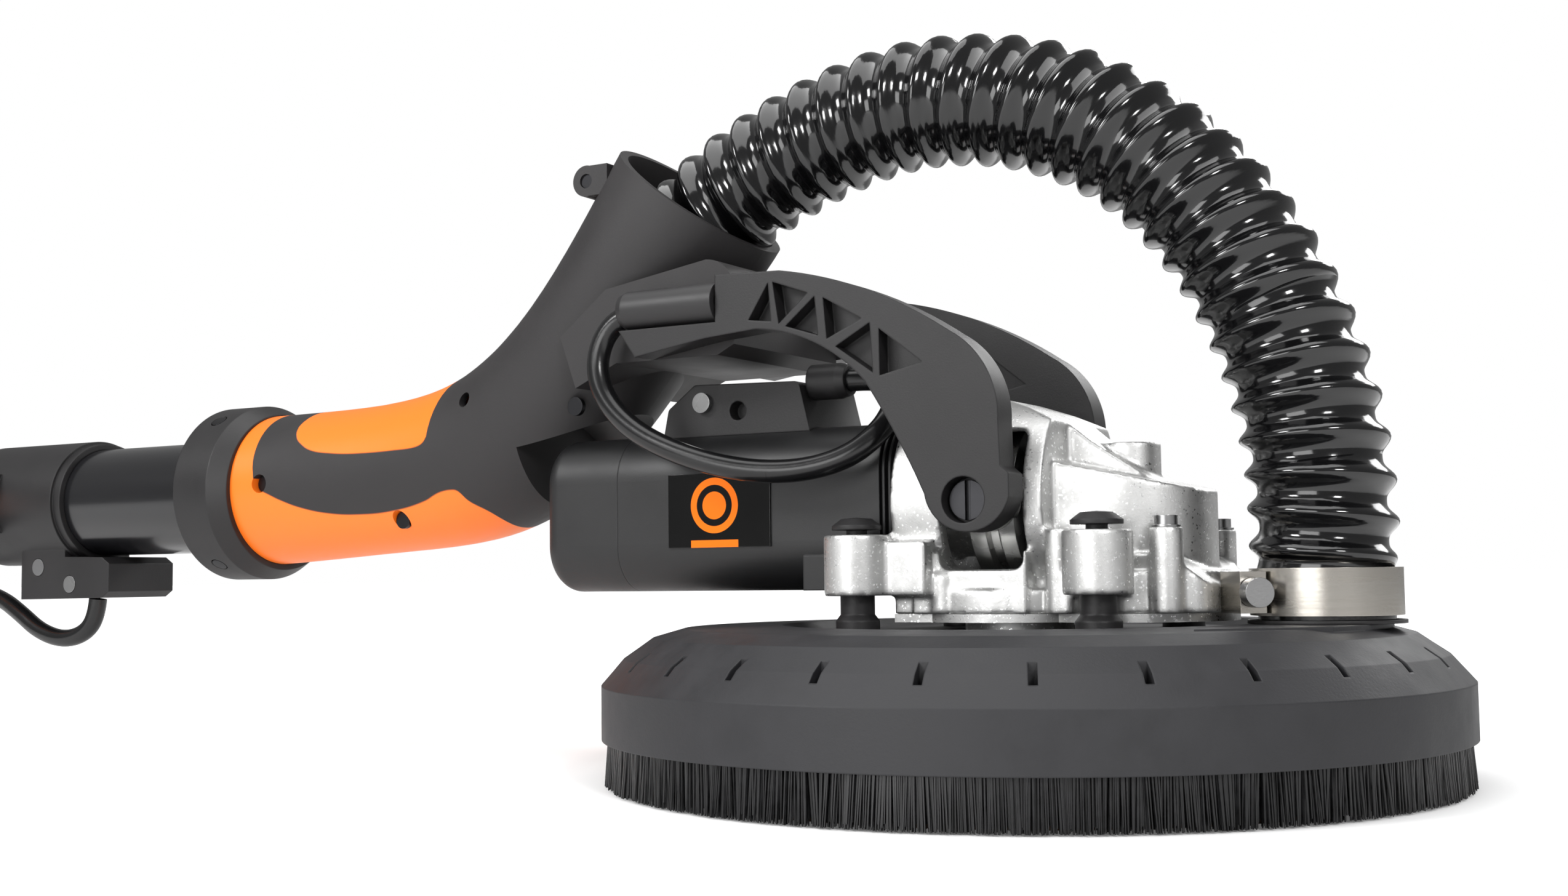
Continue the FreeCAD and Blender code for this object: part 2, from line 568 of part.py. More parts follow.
def make_housing():
    axis, rear, front = S.axis_height, S.bay_rear, S.bay_front
    base_top = S.base_bottom + S.base_plate_thick
    flange = join("rear_flange", rod("flange_disc", S.arch_radius, S.flange_thick,
                                     (rear - S.flange_thick, 0, axis), "X"),
                  block("flange_foot", (rear - S.flange_thick, -30, base_top), (rear, 30, axis)))
    crown = axis + S.arch_radius
    arch = common("arch", rod("arch_rod", S.arch_radius, front - rear + 6, (rear, 0, axis), "X"),
                  padded("arch_roof", "XZ_Plane", [
                      (rear - 1, 40), (rear - 1, crown + 1), (rear + 13, crown - 0.5),
                      (front - 11.2, crown - 2.5),
                      (front - 2.5, crown - 5.6), (front + 4, crown - 8.6), (front + 7, crown - 10),
                      (front + 7, 40)], 80))
    cheeks = block("cheeks", (rear, -1 * S.arch_radius, base_top), (front + 1, S.arch_radius, axis - 14))
    spur_case = rod("spur_case", 34.0, S.bay_floor - base_top, (0, 0, base_top))
    # the nose: a round-ended case under a sloping roof, a ridge up to the arch and a low apron in front
    nose = common("nose", join("nose_plan", rod("lay_case", S.lay_case_radius, 46,
                                                (S.gear_distance, 0, base_top)),
                               block("nose_block", (front, -1 * S.lay_case_radius, base_top),
                                     (S.gear_distance, S.lay_case_radius, base_top + 46))),
                  padded("nose_slope", "XZ_Plane", [
                      (front - 2, 40), (64, 40), (64, axis + 0.9), (front + 3, axis + 11.5),
                      (front - 2, axis + 12.5)], 80))
    ridge = padded("nose_ridge", "XZ_Plane", [
        (front, axis), (front, axis + 25), (front + 6, axis + 22.7), (front + 13, axis + 17),
        (S.gear_distance + 9, axis + 6), (S.gear_distance + 9, axis)], S.head_width / 2)
    apron = rounded("apron_soft", padded("apron", "XZ_Plane", [
        (42, base_top), (62.5, base_top), (62.5, 56.3), (57.4, 61), (51, 65), (42, 65)], S.head_width + 3),
        7.0, lambda m, d: abs(d.z) > 0.9 and m.x > 62)
    foot = rod("lay_foot", S.lay_case_radius + 5.5, 11.5, (S.gear_distance, 0, base_top))
    lugs = [rod("lug_%d" % i, size, top - base_top, (x, side * y, base_top)) for i,
            (x, y, size, top, side) in enumerate(
        (x, y, size, top, side) for x, y, size, top in ((-12.3, 29.5, 4.2, 60.0), (24.6, 28.6, 4.0, 60.0),
                                                        (22.5, 28.6, 3.9, 72.2))
        for side in (-1, 1))]
    lay_boss = rod("lay_boss", S.lay_boss_radius, S.lay_boss_top - 80, (S.gear_distance, 0, 80))
    boss = corner_set("bosses", rod("boss_rod", S.boss_radius, S.boss_top - S.boss_bottom,
                                    (0, 0, S.boss_bottom)))
    half = S.post_pitch / 2
    inner_y = S.motor_width / 2 + 0.8
    webs = [block("front_web", (half - 5, -1 * half, S.boss_bottom + 0.5),
                  (half + 2, half, S.boss_bottom + 11)),
            block("rear_web_left", (-1 * half, inner_y, S.boss_bottom),
                  (rear + 6.5, inner_y + 10, S.boss_top - 2)),
            block("rear_web_right", (-1 * half, -1 * inner_y - 10, S.boss_bottom),
                  (rear + 6.5, -1 * inner_y, S.boss_top - 2))]
    pillars = [rod("pillar_%d" % i, 4.6, 72.0 - base_top, (52, y, base_top)) for i, y in enumerate((-25, 25))]
    solid = join("housing_solid", flange, arch, cheeks, spur_case, nose, ridge, apron, foot, lay_boss, boss,
                 *webs, *lugs, *pillars)
    # the bay that the gimbal ring turns in, open to both sides
    bay = cut("bay", rod("bay_rod", S.arch_radius - S.arch_wall, front - rear, (rear, 0, axis), "X"),
              block("bay_sole", (rear - 1, -40, 30), (front + 1, 40, S.bay_floor)),
              padded("bay_roof", "XZ_Plane", [
                  (front - 17, crown + 9), (front - 17, crown - 4.7), (front - 5.7, crown - 7.2),
                  (front - 5.7, crown - 12),
                  (front + 1, crown - 13.4), (front + 1, crown + 9)], 80))
    window = block("window", (rear + 8.5, -45, axis - S.window_height / 2 + 0.6),
                   (front, 45, axis + S.window_height / 2))
    window = rounded("window_soft", window, 3.0, lambda m, d: abs(d.y) > 0.9)
    bay_all = cut("bay_and_windows", join("bay_join", bay, window),
                  rod("neck_keep", S.neck_radius, front - rear, (rear, 0, axis), "X"))
    shaft_bore = rod("shaft_bore", S.neck_bore_radius, front - rear + S.flange_thick + 2,
                     (rear - S.flange_thick - 1, 0, axis), "X")
    pinion_bore = rod("pinion_bore", 7.4, 20, (front - 1, 0, axis), "X")
    spur_bore = rod("spur_bore", 29.2, S.bay_floor - 0.9 - base_top + 1, (0, 0, base_top - 1))
    lay_bore = rod("lay_bore", 20.8, 31, (S.gear_distance, 0, base_top - 1))
    lay_pin_bore = rod("lay_pin_bore", S.shaft_radius + S.running, S.lay_boss_top - 3 - 60,
                       (S.gear_distance, 0, 60))
    spring_bore = corner_set("spring_bores", rod("spring_bore", S.spring_bore_radius, S.boss_top - 2.5 - 40,
                                                 (0, 0, 40)))
    pin_bore = corner_set("pin_bores", rod("pin_bore", S.post_pin_radius + S.running, 60, (0, 0, 40)))
    below = block("below_housing", (-60, -60, base_top - 10), (90, 60, base_top))
    sub_part("gear_housing", cut("housing_cut", solid, below, bay_all, shaft_bore, pinion_bore, spur_bore,
                                 lay_bore,
                                 lay_pin_bore, spring_bore, pin_bore))
    # cover plate below, with the spindle's bearing boss
    plate = join("base_join", rod("base_round", 34.0, S.base_plate_thick, (0, 0, S.base_bottom)),
                 rod("base_lay", S.lay_case_radius + 5.5, S.base_plate_thick,
                     (S.gear_distance, 0, S.base_bottom)),
                 block("base_rear", (rear - S.flange_thick, -30, S.base_bottom), (rear + 10, 30, base_top)),
                 rod("bearing_boss", S.bearing_boss_radius, S.base_bottom - S.bearing_boss_bottom,
                     (0, 0, S.bearing_boss_bottom)))
    bore = rod("bearing_bore", S.bearing_boss_radius - 3, base_top - S.bearing_boss_bottom + 2,
               (0, 0, S.bearing_boss_bottom - 1))
    lay_seat = rod("lay_seat", S.shaft_radius + S.running, 5, (S.gear_distance, 0, S.base_bottom + 0.9))
    sub_part("base_plate", cut("base_cut", plate, bore, lay_seat))
    width = 7.0
    bearings = [tube("spindle_bearing_%d" % i, S.bearing_boss_radius - 3, S.spindle_radius + S.running, width,
                     (0, 0, z))
                for i, z in enumerate((S.bearing_boss_bottom + 0.5, S.bearing_boss_bottom + 11.5))]
    sub_part("spindle_bearings", join("spindle_bearing_join", *bearings))
    screw = join("case_screw", rod("case_screw_head", 3.2, 2.6, (0, 0, 72.6)),
                 rod("case_screw_washer", 4.0, 0.6, (0, 0, 72.0)))
    DOCUMENT.recompute()
    heads = []
    for y in (-25, 25):
        copy = screw.Shape.copy()
        copy.translate(Vector(52, y, 0))
        heads.append(copy)
    return heads


def make_gimbal():
    axis = S.axis_height
    slip_out = S.neck_radius + S.slip_ring_wall
    sub_part("slip_ring", tube("slip_ring_body", slip_out, S.neck_radius, S.ring_width + 4,
                               (-1 * (S.ring_width / 2 + 2), 0, axis), "X"))
    ring = turned("ring_body", [
        (slip_out + S.running, -1 * S.ring_width / 2), (S.ring_radius, -1 * S.ring_width / 2),
        (S.ring_radius, -2.2), (S.ring_radius - 1.6, -1.2), (S.ring_radius - 1.6, 1.2), (S.ring_radius, 2.2),
        (S.ring_radius, S.ring_width / 2), (slip_out + S.running, S.ring_width / 2)], (0, 0, axis), "X")
    length = S.arch_radius + S.arm_gap * 0.6 - S.ring_radius + 3
    bosses = [rod("pivot_boss_%d" % i, S.pivot_boss_radius, length, (0, y, axis), "Y")
              for i, y in enumerate((S.ring_radius - 3, -1 * (S.ring_radius - 3 + length)))]
    bores = [rod("pivot_bore_%d" % i, S.pivot_bore_radius, 12.5, (0, y, axis), "Y")
             for i, y in enumerate((S.ring_radius - 3.5, -1 * (S.ring_radius - 3.5 + 12.5)))]
    keep_out = rod("ring_inside", slip_out + S.running, 60, (-30, 0, axis), "X")
    sub_part("gimbal_ring", cut("ring_cut", join("ring_join", ring, *bosses), keep_out, *bores))
    arm_in = S.arch_radius + S.arm_gap
    arm_out = arm_in + S.arm_thick
    screws = []
    for side, name in ((1, "pivot_screw_left"), (-1, "pivot_screw_right")):
        start = S.ring_radius - 3.2
        seat, top = arm_out - S.screw_sink, arm_out - S.screw_sink + 2.6
        shank = rod(name + "_shank", S.pivot_bore_radius, seat - start,
                    (0, start if side > 0 else -1 * seat, axis), "Y")
        head = rod(name + "_head", 5.6, 2.6, (0, seat if side > 0 else -1 * top, axis), "Y")
        slot = block(name + "_slot", (-0.8, top - 1.4 if side > 0 else -1 * top - 0.5, axis - 8),
                     (0.8, top + 0.5 if side > 0 else -1 * top + 1.4, axis + 8))
        screws.append(cut(name + "_cut", join(name + "_join", shank, head), slot))
    sub_part("pivot_screws", join("pivot_screw_pair", *screws))


# ---------------------------------------------------------------- motor

def motor_blank(name, start, end, wall=0.0):
    """The motor's rounded-square section between two places along X."""
    wide, high = S.motor_width / 2 - wall, S.motor_height / 2 - wall
    box = block(name + "_box", (start, -1 * wide, S.axis_height - high), (end, wide, S.axis_height + high))
    return rounded(name, box, S.motor_corner - wall, lambda m, d: abs(d.x) > 0.9)


def make_motor():
    axis = S.axis_height
    shell = motor_blank("motor_blank", S.motor_seam, S.motor_front - 6)
    inside = rod("motor_inside", S.motor_height / 2 - S.motor_wall, 300, (-200, 0, axis), "X")
    front = motor_blank("motor_front_blank", S.motor_front - 6, S.motor_front, 2.4)
    grooves = [motor_blank("motor_groove_%d" % i, S.motor_front - 5.0 + 2 * i, S.motor_front - 4.2 + 2 * i)
               for i in range(2)]
    fins = join("motor_fins", front, *grooves)
    foot = block("motor_corner_block", (-60, -27, 55.5), (-35, -16, 66))
    sub_part("motor_housing", cut("motor_cut", join("motor_join", shell, fins, foot), inside))
    cap = motor_blank("cap_blank", S.motor_rear, S.motor_seam)
    cap_soft = rounded("cap_soft", cap, 6.0, lambda m, d: abs(m.x - float(S.motor_rear)) < TINY)
    cap_inside = rod("cap_inside", S.motor_height / 2 - S.motor_wall, S.motor_seam - S.motor_rear - 4,
                     (S.motor_rear + 4, 0, axis), "X")
    slots = [block("cap_slot_%d" % i, (S.motor_rear - 1, -12, axis - 13 + 5 * i),
                   (S.motor_rear + 5, 12, axis - 10.6 + 5 * i))
             for i in range(6)]
    spider = rod("spider_rod", S.motor_height / 2 - S.motor_wall / 2, 7, (S.motor_rear + 5.5, 0, axis), "X")
    spider_bore = rod("spider_bore", 11.0, 20, (S.motor_rear + 5, 0, axis), "X")
    cap_shell = cut("cap_cut", cap_soft, cap_inside, *slots)
    sub_part("motor_rear_cap", cut("cap_bored", join("cap_join", cap_shell, spider), spider_bore))
    badge_y = -1 * S.motor_width / 2
    sub_part("side_badge", block("badge_block", (-108, badge_y - 0.6, 69), (-71, badge_y, 92)))
    inner = S.motor_height / 2 - S.motor_wall - 0.1
    sub_part("stator", tube("stator_body", inner, S.core_radius + S.stator_gap, 46, (-110, 0, axis), "X"))
    rear_bearing = tube("rear_bearing", 11.0, S.shaft_radius + S.running, 7, (S.motor_rear + 5.5, 0, axis), "X")
    front_bearing = tube("front_bearing", S.neck_bore_radius, S.shaft_radius + S.running, 7,
                         (S.bay_rear + 2, 0, axis), "X")
    sub_part("motor_bearings", join("motor_bearing_pair", rear_bearing, front_bearing))
    holder = [block("brush_%d" % i, (-133, y, axis - 5), (-124, y + 10.5, axis + 5)) for i,
              y in enumerate((11.5, -22.0))]
    sub_part("carbon_brushes", join("brush_join", *holder))
    # raised terminal box on top, with its two screws and the cable's gland
    top = axis + S.motor_height / 2
    box = padded("terminal_body", "XZ_Plane", [
        (-116, top - 1.5), (-62, top - 1.5), (-66, top + 14.5), (-104, top + 15.5), (-114, top + 8)], 36)
    saddle = motor_blank("terminal_saddle", -130, -50)
    hole = rod("terminal_hole", 3.0, 6, (-88, -19, top + 6.5), "Y")
    sub_part("terminal_box", cut("terminal_cut", rounded(
        "terminal_soft", box, 2.0, lambda m, d: m.z > float(top) + 5 and abs(d.y) > 0.9), saddle, hole))
    screw_heads = [rod("terminal_screw_%d" % i, 3.2, 2.0, (-100.5, y, top + 9.5), "Y") for i,
                   y in enumerate((-20, 18))]
    gland = turned("gland_body", [
        (S.cable_radius + 0.02, 0), (6.4, 0), (6.4, 4), (5.6, 5), (5.6, 15), (4.8, 18),
        (S.cable_radius + 0.02, 18)],
        (-70, -10, 120), "X")
    sub_part("motor_gland", cut("gland_cut", gland, block("gland_flat", (-75, -20, 100), (-64.8, 0, 130))))
    DOCUMENT.recompute()
    return [head.Shape for head in screw_heads]


def make_armature():
    axis = S.axis_height
    pinion = spur_shape(10, 1.0, 6.0, 0.5, 1.5)
    pinion.rotate(Vector(0, 0, 0), Vector(0, 1, 0), 90)
    pinion.translate(Vector(float(S.bay_front) + 0.8, 0, float(axis)))
    start = S.motor_rear + 6
    shaft = rod("armature_rod", S.shaft_radius, S.bay_front + 0.9 - start, (start, 0, axis), "X")
    sub_part("armature_shaft", join("armature_join", shaft, shape_part("armature_pinion", pinion)))
    core = tube("core_blank", S.core_radius, S.shaft_radius, 46, (-110, 0, axis), "X")
    sub_part("armature_core", core)
    sub_part("commutator", tube("commutator_body", 11.2, S.shaft_radius, 11, (-134, 0, axis), "X"))
    hub = tube("fan_hub", 19.5, S.shaft_radius, 1.6, (-55, 0, axis), "X")
    boss = tube("fan_boss", 7.0, S.shaft_radius, 9, (-55, 0, axis), "X")
    blade = block("fan_blade", (-54, -0.6, axis + 6), (-47, 0.6, axis + 19))
    DOCUMENT.recompute()
    blades = []
    for i in range(11):
        copy = blade.Shape.copy()
        copy.rotate(Vector(0, 0, float(axis)), Vector(1, 0, 0), i * 360 / 11)
        blades.append(copy)
    sub_part("motor_fan", join("fan_join", hub, boss, shape_part("fan_blades", Part.makeCompound(blades))))


# ---------------------------------------------------------------- grip and fork

# the grip's centre line: place, slope in degrees, half height and half width of the section
GRIP_STATIONS = [
    (-312.0, 94.5, 0, 28.3, 28.3), (-285.0, 95.3, 0, 27.8, 27.0), (-255.0, 96.6, 2, 27.2, 26.0),
    (-228.0, 98.6, 8, 27.6, 26.0), (-203.0, 103.0, 17, 29.0, 27.0), (-178.0, 114.5, 30, 29.5, 28.5),
    (-153.0, 136.5, 44, 28.0, 30.0), (-132.0, 160.5, 50, 28.5, 31.0), (-112.5, 184.5, 52, 30.8, 31.0),
]


def grip_loft(shrink):
    wires = []
    for x, z, slope, high, wide in GRIP_STATIONS:
        turn = Rotation(Vector(0, 1, 0), 90 - slope)
        ring = Part.Ellipse(Vector(0, 0, 0), max(high, wide) - shrink, min(high, wide) - shrink).toShape()
        if wide > high:
            ring.rotate(Vector(0, 0, 0), Vector(0, 0, 1), 90)
        ring.Placement = Placement(Vector(x, 0, z), turn) * ring.Placement
        wires.append(Part.Wire(ring))
    return Part.makeLoft(wires, True, False)


def make_grip():
    outer, inner = grip_loft(0.0), grip_loft(float(S.grip_wall))
    arm_in = float(S.arch_radius + S.arm_gap)
    root = slab(side_wire(-arm_in, (-128, 152), (-90, 158), ((-82, 154), (-80, 146)), (-80, 131), (-86, 128),
                          (-124, 128), (-140, 121), (-146, 138)), 2 * arm_in)
    body = outer.fuse(root)
    hollow_front = Part.makeBox(400, 100, 300, Vector(-236, -50, 0))
    hollow = inner.common(hollow_front)
    tube_bore = Part.makeCylinder(float(S.front_tube_radius), 110, Vector(-345, 0, float(S.pole_height)),
                                  Vector(1, 0, 0))
    hose_bore = Part.makeCylinder(float(S.hose_radius) + 3.2, 60, Vector(-128, 0, 162.0),
                                  Vector(0.62, 0, 0.785))
    # the underside is hollowed out over the motor's rear end, so that it can swing, behind a wall of its own
    swing_radius, swing_rear = float(S.motor_width) / 2 + 8.5, float(S.motor_rear) - 12
    swing_z = float(S.axis_height) - 1.5
    swing, swing_wall = [Part.makeCylinder(swing_radius + wall, 140, Vector(swing_rear - wall, 0, swing_z),
                                           Vector(1, 0, 0))
                         for wall in (0.0, float(S.grip_wall))]
    body = body.cut(hollow.cut(swing_wall)).cut(tube_bore).cut(hose_bore).cut(swing)
    # screw pockets in the right shell: place, radius, and how deep the floor lies
    pocket_places = ((-145.5, 116.0, 3.4, -24.0), (-192.6, 121.0, 2.6, -18.0), (-287.0, 95.7, 3.4, -22.6),
                     (-225.0, 81.0, 3.4, -17.5))
    pockets, heads = [], []
    for x, z, radius, floor in pocket_places:
        pockets.append(Part.makeCylinder(radius, 40 + floor, Vector(x, -40, z), Vector(0, 1, 0)))
        heads.append(Part.makeCylinder(radius - 0.4, 1.8, Vector(x, floor - 1.8, z), Vector(0, 1, 0)))
    body = body.cut(Part.makeCompound(pockets))
    # lug with a cross screw behind the socket's lip
    lug = Part.makeCylinder(5.2, 9, Vector(-143.5, -22, 191), Vector(0, 1, 0))
    lug_bore = Part.makeCylinder(2.4, 5, Vector(-143.5, -23, 191), Vector(0, 1, 0))
    neck = Part.makeBox(9, 9, 10, Vector(-144, -22, 186))
    lug_all = lug.fuse(neck).cut(inner).cut(hose_bore).cut(lug_bore)
    body = body.fuse(lug_all).removeSplitter()
    heads.append(Part.makeCylinder(2.3, 3.3, Vector(-143.5, -21.4, 191), Vector(0, 1, 0)))
    for side, name in ((1, "grip_left"), (-1, "grip_right")):
        half = Part.makeBox(400, 60, 300, Vector(-400, 0 if side > 0 else -60, 0))
        sub_part(name, shape_part(name + "_shell", body.common(half)))
    return heads


ARM_OUTER = [((-29, 142), (-3, 128)), ((7.2, 118), (11, 102)), (11.4, 89.5), (13.8, 87.5), (13.8, 81.0)]
ARM_INNER = [((-19, 97), (-30, 115.5)), ((-44, 126.6), (-66, 133.4))]
TRUSS = [((-61.9, 146.9), (-68.8, 136.2), (-61.0, 135.2)), ((-60.4, 147.0), (-48.5, 142.7), (-58.4, 134.2)),
         ((-46.2, 141.5), (-56.1, 133.4), (-45.2, 129.9)), ((-43.4, 140.9), (-30.9, 133.7), (-42.3, 128.6)),
         ((-28.2, 132.3), (-39.4, 126.2), (-27.4, 117.8)), ((-25.3, 130.4), (-11.8, 119.8), (-25.2, 116.8))]


def truss_pockets(y, depth):
    """Triangular pockets between the arm's edges, sunk from one face."""
    return Part.makeCompound([slab(side_wire(y, *corners), depth) for corners in TRUSS])


def make_fork():
    arm_in = float(S.arch_radius + S.arm_gap)
    thick, z = float(S.arm_thick), float(S.axis_height)
    outline = [(-116, 136.6), (-80.5, 136.6), (-80.5, 151), (-58, 150.2), *ARM_OUTER,
               ((1.5, z - 9.0), (-11.8, z + 2)), *ARM_INNER, (-84, 132), (-110, 128)]
    for side, name in ((1, "fork_arm_left"), (-1, "fork_arm_right")):
        start = arm_in if side > 0 else -arm_in - thick
        arm = slab(side_wire(start, *outline), thick)
        outside, inside = 0.55 * thick, 0.25 * thick
        outer_face = arm_in + thick - outside if side > 0 else -arm_in - thick
        inner_face = arm_in if side > 0 else -arm_in - inside
        arm = arm.cut(truss_pockets(outer_face, outside)).cut(truss_pockets(inner_face, inside))
        bore = Part.makeCylinder(float(S.pivot_bore_radius + S.running), 20, Vector(0, start - 5, z),
                                 Vector(0, 1, 0))
        sink = float(S.screw_sink)
        seat_y = arm_in + thick - sink if side > 0 else -arm_in - thick
        seat = Part.makeCylinder(6.5, sink, Vector(0, seat_y, z), Vector(0, 1, 0))
        sub_part(name, shape_part(name + "_plate", arm.cut(bore).cut(seat)))
    boot_y = -1 * (S.arch_radius + S.arm_gap + 6.2)
    boot = turned("boot_body", [
        (S.cable_radius + 0.02, 0), (5.4, 0), (6.1, 2), (6.1, 35), (S.cable_radius + 0.02, 35)],
        (-116, boot_y, 143), "X")
    sub_part("cable_boot", boot)


# ---------------------------------------------------------------- pole

def make_pole():
    z = S.pole_height
    length = S.collar_front - S.collar_rear
    collar = turned("collar_body", [
        (S.front_tube_radius, 0), (S.collar_radius - 5, 0), (S.collar_radius, 5), (S.collar_radius, length - 7),
        (S.collar_radius - 3.5, length), (S.front_tube_radius, length)], (S.collar_rear, 0, z + 1), "X")
    DOCUMENT.recompute()
    collar_cut = collar.Shape.cut(grip_loft(0.0))
    collar_cut = collar_cut.cut(Part.makeCylinder(float(S.front_tube_radius), 60, Vector(-345, 0, float(z)),
                                                  Vector(1, 0, 0)))
    pockets, screws = [], []
    for angle in (35, 145, 215, 325):
        for size, found in ((3.2, pockets), (2.8, screws)):
            rod_shape = Part.makeCylinder(size, 20 if found is pockets else 8, Vector(-316, 0, float(z)),
                                          Vector(0, 0, 1))
            rod_shape.translate(Vector(0, 0, 27))
            rod_shape.rotate(Vector(-316, 0, float(z)), Vector(1, 0, 0), angle)
            found.append(rod_shape)
    collar_cut = collar_cut.cut(Part.makeCompound(pockets))
    solids = sorted(collar_cut.Solids, key=lambda solid: solid.Volume)
    sub_part("pole_collar", shape_part("pole_collar_shape", solids[-1]))
    collar_heads = [shape.common(collar.Shape).cut(grip_loft(-0.05)) for shape in screws]
    sub_part("front_tube", tube("front_tube_body", S.front_tube_radius - TINY, S.rear_tube_radius + S.running,
                                S.front_tube_front - S.front_tube_rear, (S.front_tube_rear, 0, z), "X"))
    # split clamp round the tube's rear end, with a block for its two pinch screws and the cable
    ring = tube("clamp_ring", S.clamp_radius, S.front_tube_radius, 56, (S.clamp_front - 56, 0, z), "X")
    guard = tube("clamp_guard", S.clamp_radius - 1.2, S.front_tube_radius, 4, (S.clamp_front, 0, z), "X")
    ears = padded("clamp_ears", "XZ_Plane", [
        (-432, 54), (-384, 54.5), (-380, 57), (-380, 68), (-384, 70.5), (-406, 71), (-406, 78), (-432, 78)], 32)
    tube_bore = rod("clamp_bore", S.front_tube_radius, 200, (-520, 0, z), "X")
    split = block("clamp_split", (-470, -1, 50), (-433, 1, 75))
    holes = [rod("ear_hole_%d" % i, 3.6, 3.0, (x, -16.5, h), "Y") for i,
             (x, h) in enumerate(((-422, 67), (-403, 60)))]
    cable_hole = rod("ear_cable_hole", S.cable_radius + 0.1, 6, (-398, -6, 50))
    pin_x, pin_y = -442.0, -1 * (S.clamp_radius + 4.4)
    pin_hole = rod("lever_pin_hole", 2.0, 40, (pin_x, pin_y, z - 20))
    lug = block("lever_lug", (pin_x - 5, pin_y - 4.5, z - 12), (pin_x + 5, -20, z + 12))
    lug_slot = block("lever_slot", (pin_x - 8, pin_y - 8, z - 7),
                     (pin_x + 8, -1 * (S.clamp_radius + 0.3), z + 7))
    body = join("clamp_join", ring, guard, ears, cut("lug_cut", lug, lug_slot))
    sub_part("clamp_body", cut("clamp_cut", body, tube_bore, split, pin_hole, cable_hole, *holes))
    ear_screws = [rod("ear_screw_%d" % i, 3.4, 2.4, (x, -16.1, h), "Y")
                  for i, (x, h) in enumerate(((-422, 67), (-403, 60)))]
    lever_pin = rod("lever_pin_rod", 2.0, 24, (pin_x, pin_y, z - 12))
    sub_part("clamp_fasteners", join("clamp_fastener_join", lever_pin, *ear_screws))
    arm = padded("lever_body", "XY_Plane", [
        (pin_x, pin_y + 3.5), (-490, -28), (-520, -33), (-524, -35.5), (-521, -37.5), (-500, -34.5),
        (pin_x, pin_y - 3.5)], 13.0, (0, 0, z))
    root = rod("lever_root", 3.6, 13, (pin_x, pin_y, z - 6.5))
    sub_part("clamp_lever", cut("lever_cut", join("lever_join", arm, root),
                                rod("lever_bore", 2.0 + S.running, 40, (pin_x, pin_y, z - 20))))
    return collar_heads


